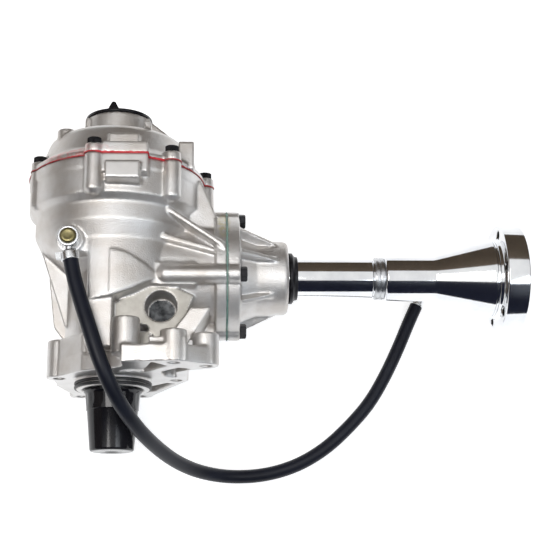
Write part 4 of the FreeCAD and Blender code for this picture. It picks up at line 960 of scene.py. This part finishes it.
# %% Faced surfaces
def flats_to_slot(skin, slot, axis, level, low, high, reach=0.7):
    """Puts flat faces at a level, between two corners in millimetres, into a slot: a machined
    finish, or the painted shade of the side port.
    """
    index = "XYZ".index(axis)
    count = 0
    for polygon in skin.data.polygons:
        spot = polygon.center / MM
        if abs(spot[index] - level) > reach or abs(polygon.normal[index]) < 0.97:
            continue
        if all(low[i] <= spot[i] <= high[i] for i in range(3)):
            polygon.material_index = slot
            count += 1
    print(skin.name, "faced:", count)


print("slots:", [material.name for material in (cast, faced, shaded_port_face, port_floor_shade)])

# %% [markdown]
# The main case gets its chamber's lower shell, a hair thicker than the upper one, the pad that
# the vent stands on, and a thin upright crest on the left of the column. The cutter's faces
# are then picked out by where they lie and which way they look.

# %% Main casting
SHELL_RADIUS = 67.9
SHELL_FLOOR = 30
CREASE = [(0.6, 103.0), (6, 102.6), (12, 101.2), (18, 98.6), (24, 95.2), (30, 91.6),
          (36, 87.6), (41, 83), (44, 79)]
PAD = [(-41.5, 110), (-40.5, 119), (-36, 125), (-28, 127), (-17, 127), (-15.2, 125),
       (-14.6, 103), (-17, 101.5), (-27, 101.5), (-39, 103.5)]
PAD_FLOOR, PAD_TOP = 38, 63.8
WEB = [(-19.6, 60), (-18.2, 60), (-18.2, 20), (-19.6, 20)]
WEB_TOP = 64.9


def barrel_top(radius):
    """The height of a round surface about the input axis."""
    return lambda x, y: math.sqrt(max(radius ** 2 - x ** 2, 1))


def shell_hem(x):
    """The lower edge of the shell, which rises to the right above the port."""
    return 63.5 + 0.42 * x


def main_extras(bm):
    """Forms of the main case that are too fine for its solid."""
    for (x0, y0), (x1, y1) in zip(CREASE, CREASE[1:]):
        block(bm, [(x0, shell_hem(x0)), (x1, shell_hem(x1)), (x1, y1), (x0, y0)],
              SHELL_FLOOR, barrel_top(SHELL_RADIUS))
    block(bm, PAD, PAD_FLOOR, PAD_TOP)
    block(bm, WEB, SHELL_FLOOR, WEB_TOP)


main_skin = cast_skin("main_casting", "main_case", main_extras)
# The milled pad round the side port, whose darker tone is painted shade, and the floor of the
# port, painted near black as shade in the deep hole.
flats_to_slot(main_skin, PORT_FACE, "Z", 52, (2, 20, 50), (74, 76, 54))
flats_to_slot(main_skin, PORT_FLOOR_SHADE, "Z", 28, (30, 42, 20), (58, 70, 36), reach=8)
# Flats on top of the barrel, the mounting face, the spigot's end and the rear pad.
flats_to_slot(main_skin, FACED, "Z", 86, (-12, 160, 84), (36, 186, 88))
flats_to_slot(main_skin, FACED, "Z", 95, (-6, 150, 93), (30, 180, 97))
flats_to_slot(main_skin, FACED, "Y", 0, (-95, -1, -110), (110, 1, 110))
flats_to_slot(main_skin, FACED, "Y", -9.5, (-40, -11, -40), (40, -8, 40))
flats_to_slot(main_skin, FACED, "Z", -100, (-80, 100, -102), (80, 180, -98))

# %% [markdown]
# The cover and the nose are cast in the same way. A cutter has faced the rim of the cover's
# neck and the end of the nose, where the seals go in.

# %% Cover and nose castings
cover_skin = cast_skin("cover_casting", "side_cover", skin_finish=cover_cast)
flats_to_slot(cover_skin, FACED, "Y", 248.5, (-35, 247, -35), (35, 250, 35))
nose_skin = cast_skin("nose_casting", "extension_housing")
flats_to_slot(nose_skin, FACED, "X", 158.2, (157, 50, -40), (160, 140, 40))

# %% [markdown]
# When a joint is bolted up, liquid sealant squeezes out of it in an uneven bead. The bead
# follows the joint's real outline, read from its solid: the outer loop of edges is walked
# with a round section whose size wanders along the way.

# %% Joint outlines
def outer_loop(name, axis):
    """The outermost edge loop of a flat joint, as points in metres."""
    bm = bmesh.new()
    bm.from_mesh(nodes[name].data)
    bmesh.ops.remove_doubles(bm, verts=bm.verts, dist=1e-6)
    middle = sum(v.co[axis] for v in bm.verts) / len(bm.verts)
    rim = [e for e in bm.edges
           if all(v.co[axis] > middle for v in e.verts) and len(e.link_faces) == 2
           and abs(abs(e.link_faces[0].normal[axis]) - abs(e.link_faces[1].normal[axis])) > 0.5]
    loops = []
    left = set(rim)
    while left:
        edge = left.pop()
        first, here = edge.verts
        loop = [first.co.copy(), here.co.copy()]
        while True:
            onward = next((e for e in here.link_edges if e in left), None)
            if onward is None:
                break
            left.remove(onward)
            here = onward.other_vert(here)
            loop.append(here.co.copy())
        loops.append(loop)
    bm.free()
    return max(loops, key=lambda loop: sum((a - b).length for a, b in zip(loop, loop[1:])))


def even_points(loop, spacing):
    """The same loop with points at an even spacing."""
    points, carried = [], 0.0
    for a, b in zip(loop, loop[1:] + loop[:1]):
        length = (b - a).length
        while length and carried < length:
            points.append(a.lerp(b, carried / length))
            carried += spacing
        carried -= length
    return points


print("joint points:", len(outer_loop("cover_sealant", 1)), len(outer_loop("nose_gasket", 0)))

# %% [markdown]
# A closed poly curve with a round bevel makes the bead: the radius of each point is its size,
# a slow noise lets it swell and shrink, and a quick one makes it ripple. Where the bead is
# known to be strong, a test on the place keeps it thick.

# %% Squeezed beads
SPACING = 0.0012
SWELL = 0.016
RIPPLE = SWELL / 5
LIFT = 0.0004


def bead(name, node, axis, material, thin, thick, strong):
    """A closed uneven bead round a joint, thick where the strong test says so."""
    points = even_points(outer_loop(node, axis), SPACING)
    low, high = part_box(node)
    level = (low[axis] + high[axis]) / 2
    data = bpy.data.curves.new(name, "CURVE")
    data.dimensions = "3D"
    spline = data.splines.new("POLY")
    spline.points.add(len(points) - 1)
    spline.use_cyclic_u = True
    for point, place in zip(spline.points, points):
        wander = 0.5 + 0.5 * noise.noise(place / SWELL)
        ripple = noise.noise(place / RIPPLE)
        size = thin + (thick - thin) * wander ** 2 * (1 + 0.6 * ripple)
        if strong(place):
            size = max(size, thick * (1.05 + 0.3 * ripple))
        spot = place.copy()
        spot[axis] = level + LIFT * ripple
        point.co = (*spot, 1)
        point.radius = size
    data.bevel_depth = 1.0
    data.bevel_resolution = 2
    curve = bpy.data.objects.new(name, data)
    scene.collection.objects.link(curve)
    graph = bpy.context.evaluated_depsgraph_get()
    mesh = bpy.data.meshes.new_from_object(curve.evaluated_get(graph))
    bpy.data.objects.remove(curve)
    mesh.polygons.foreach_set("use_smooth", [True] * len(mesh.polygons))
    mesh.materials.clear()
    mesh.materials.append(material)
    thing = mesh_object(name, mesh)
    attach(thing, "case")
    print(name, "points:", len(points))


bead("red_bead", "cover_sealant", 1, sealant, 0.00005, 0.0009,
     strong=lambda p: p.z > 0.04 and -0.012 < p.x < 0.046)
bead("green_bead", "nose_gasket", 0, gasket, 0.0003, 0.0007,
     strong=lambda p: p.z > 0.02 and p.y > 0.10)

# %% [markdown]

# %% End
print("scene built")
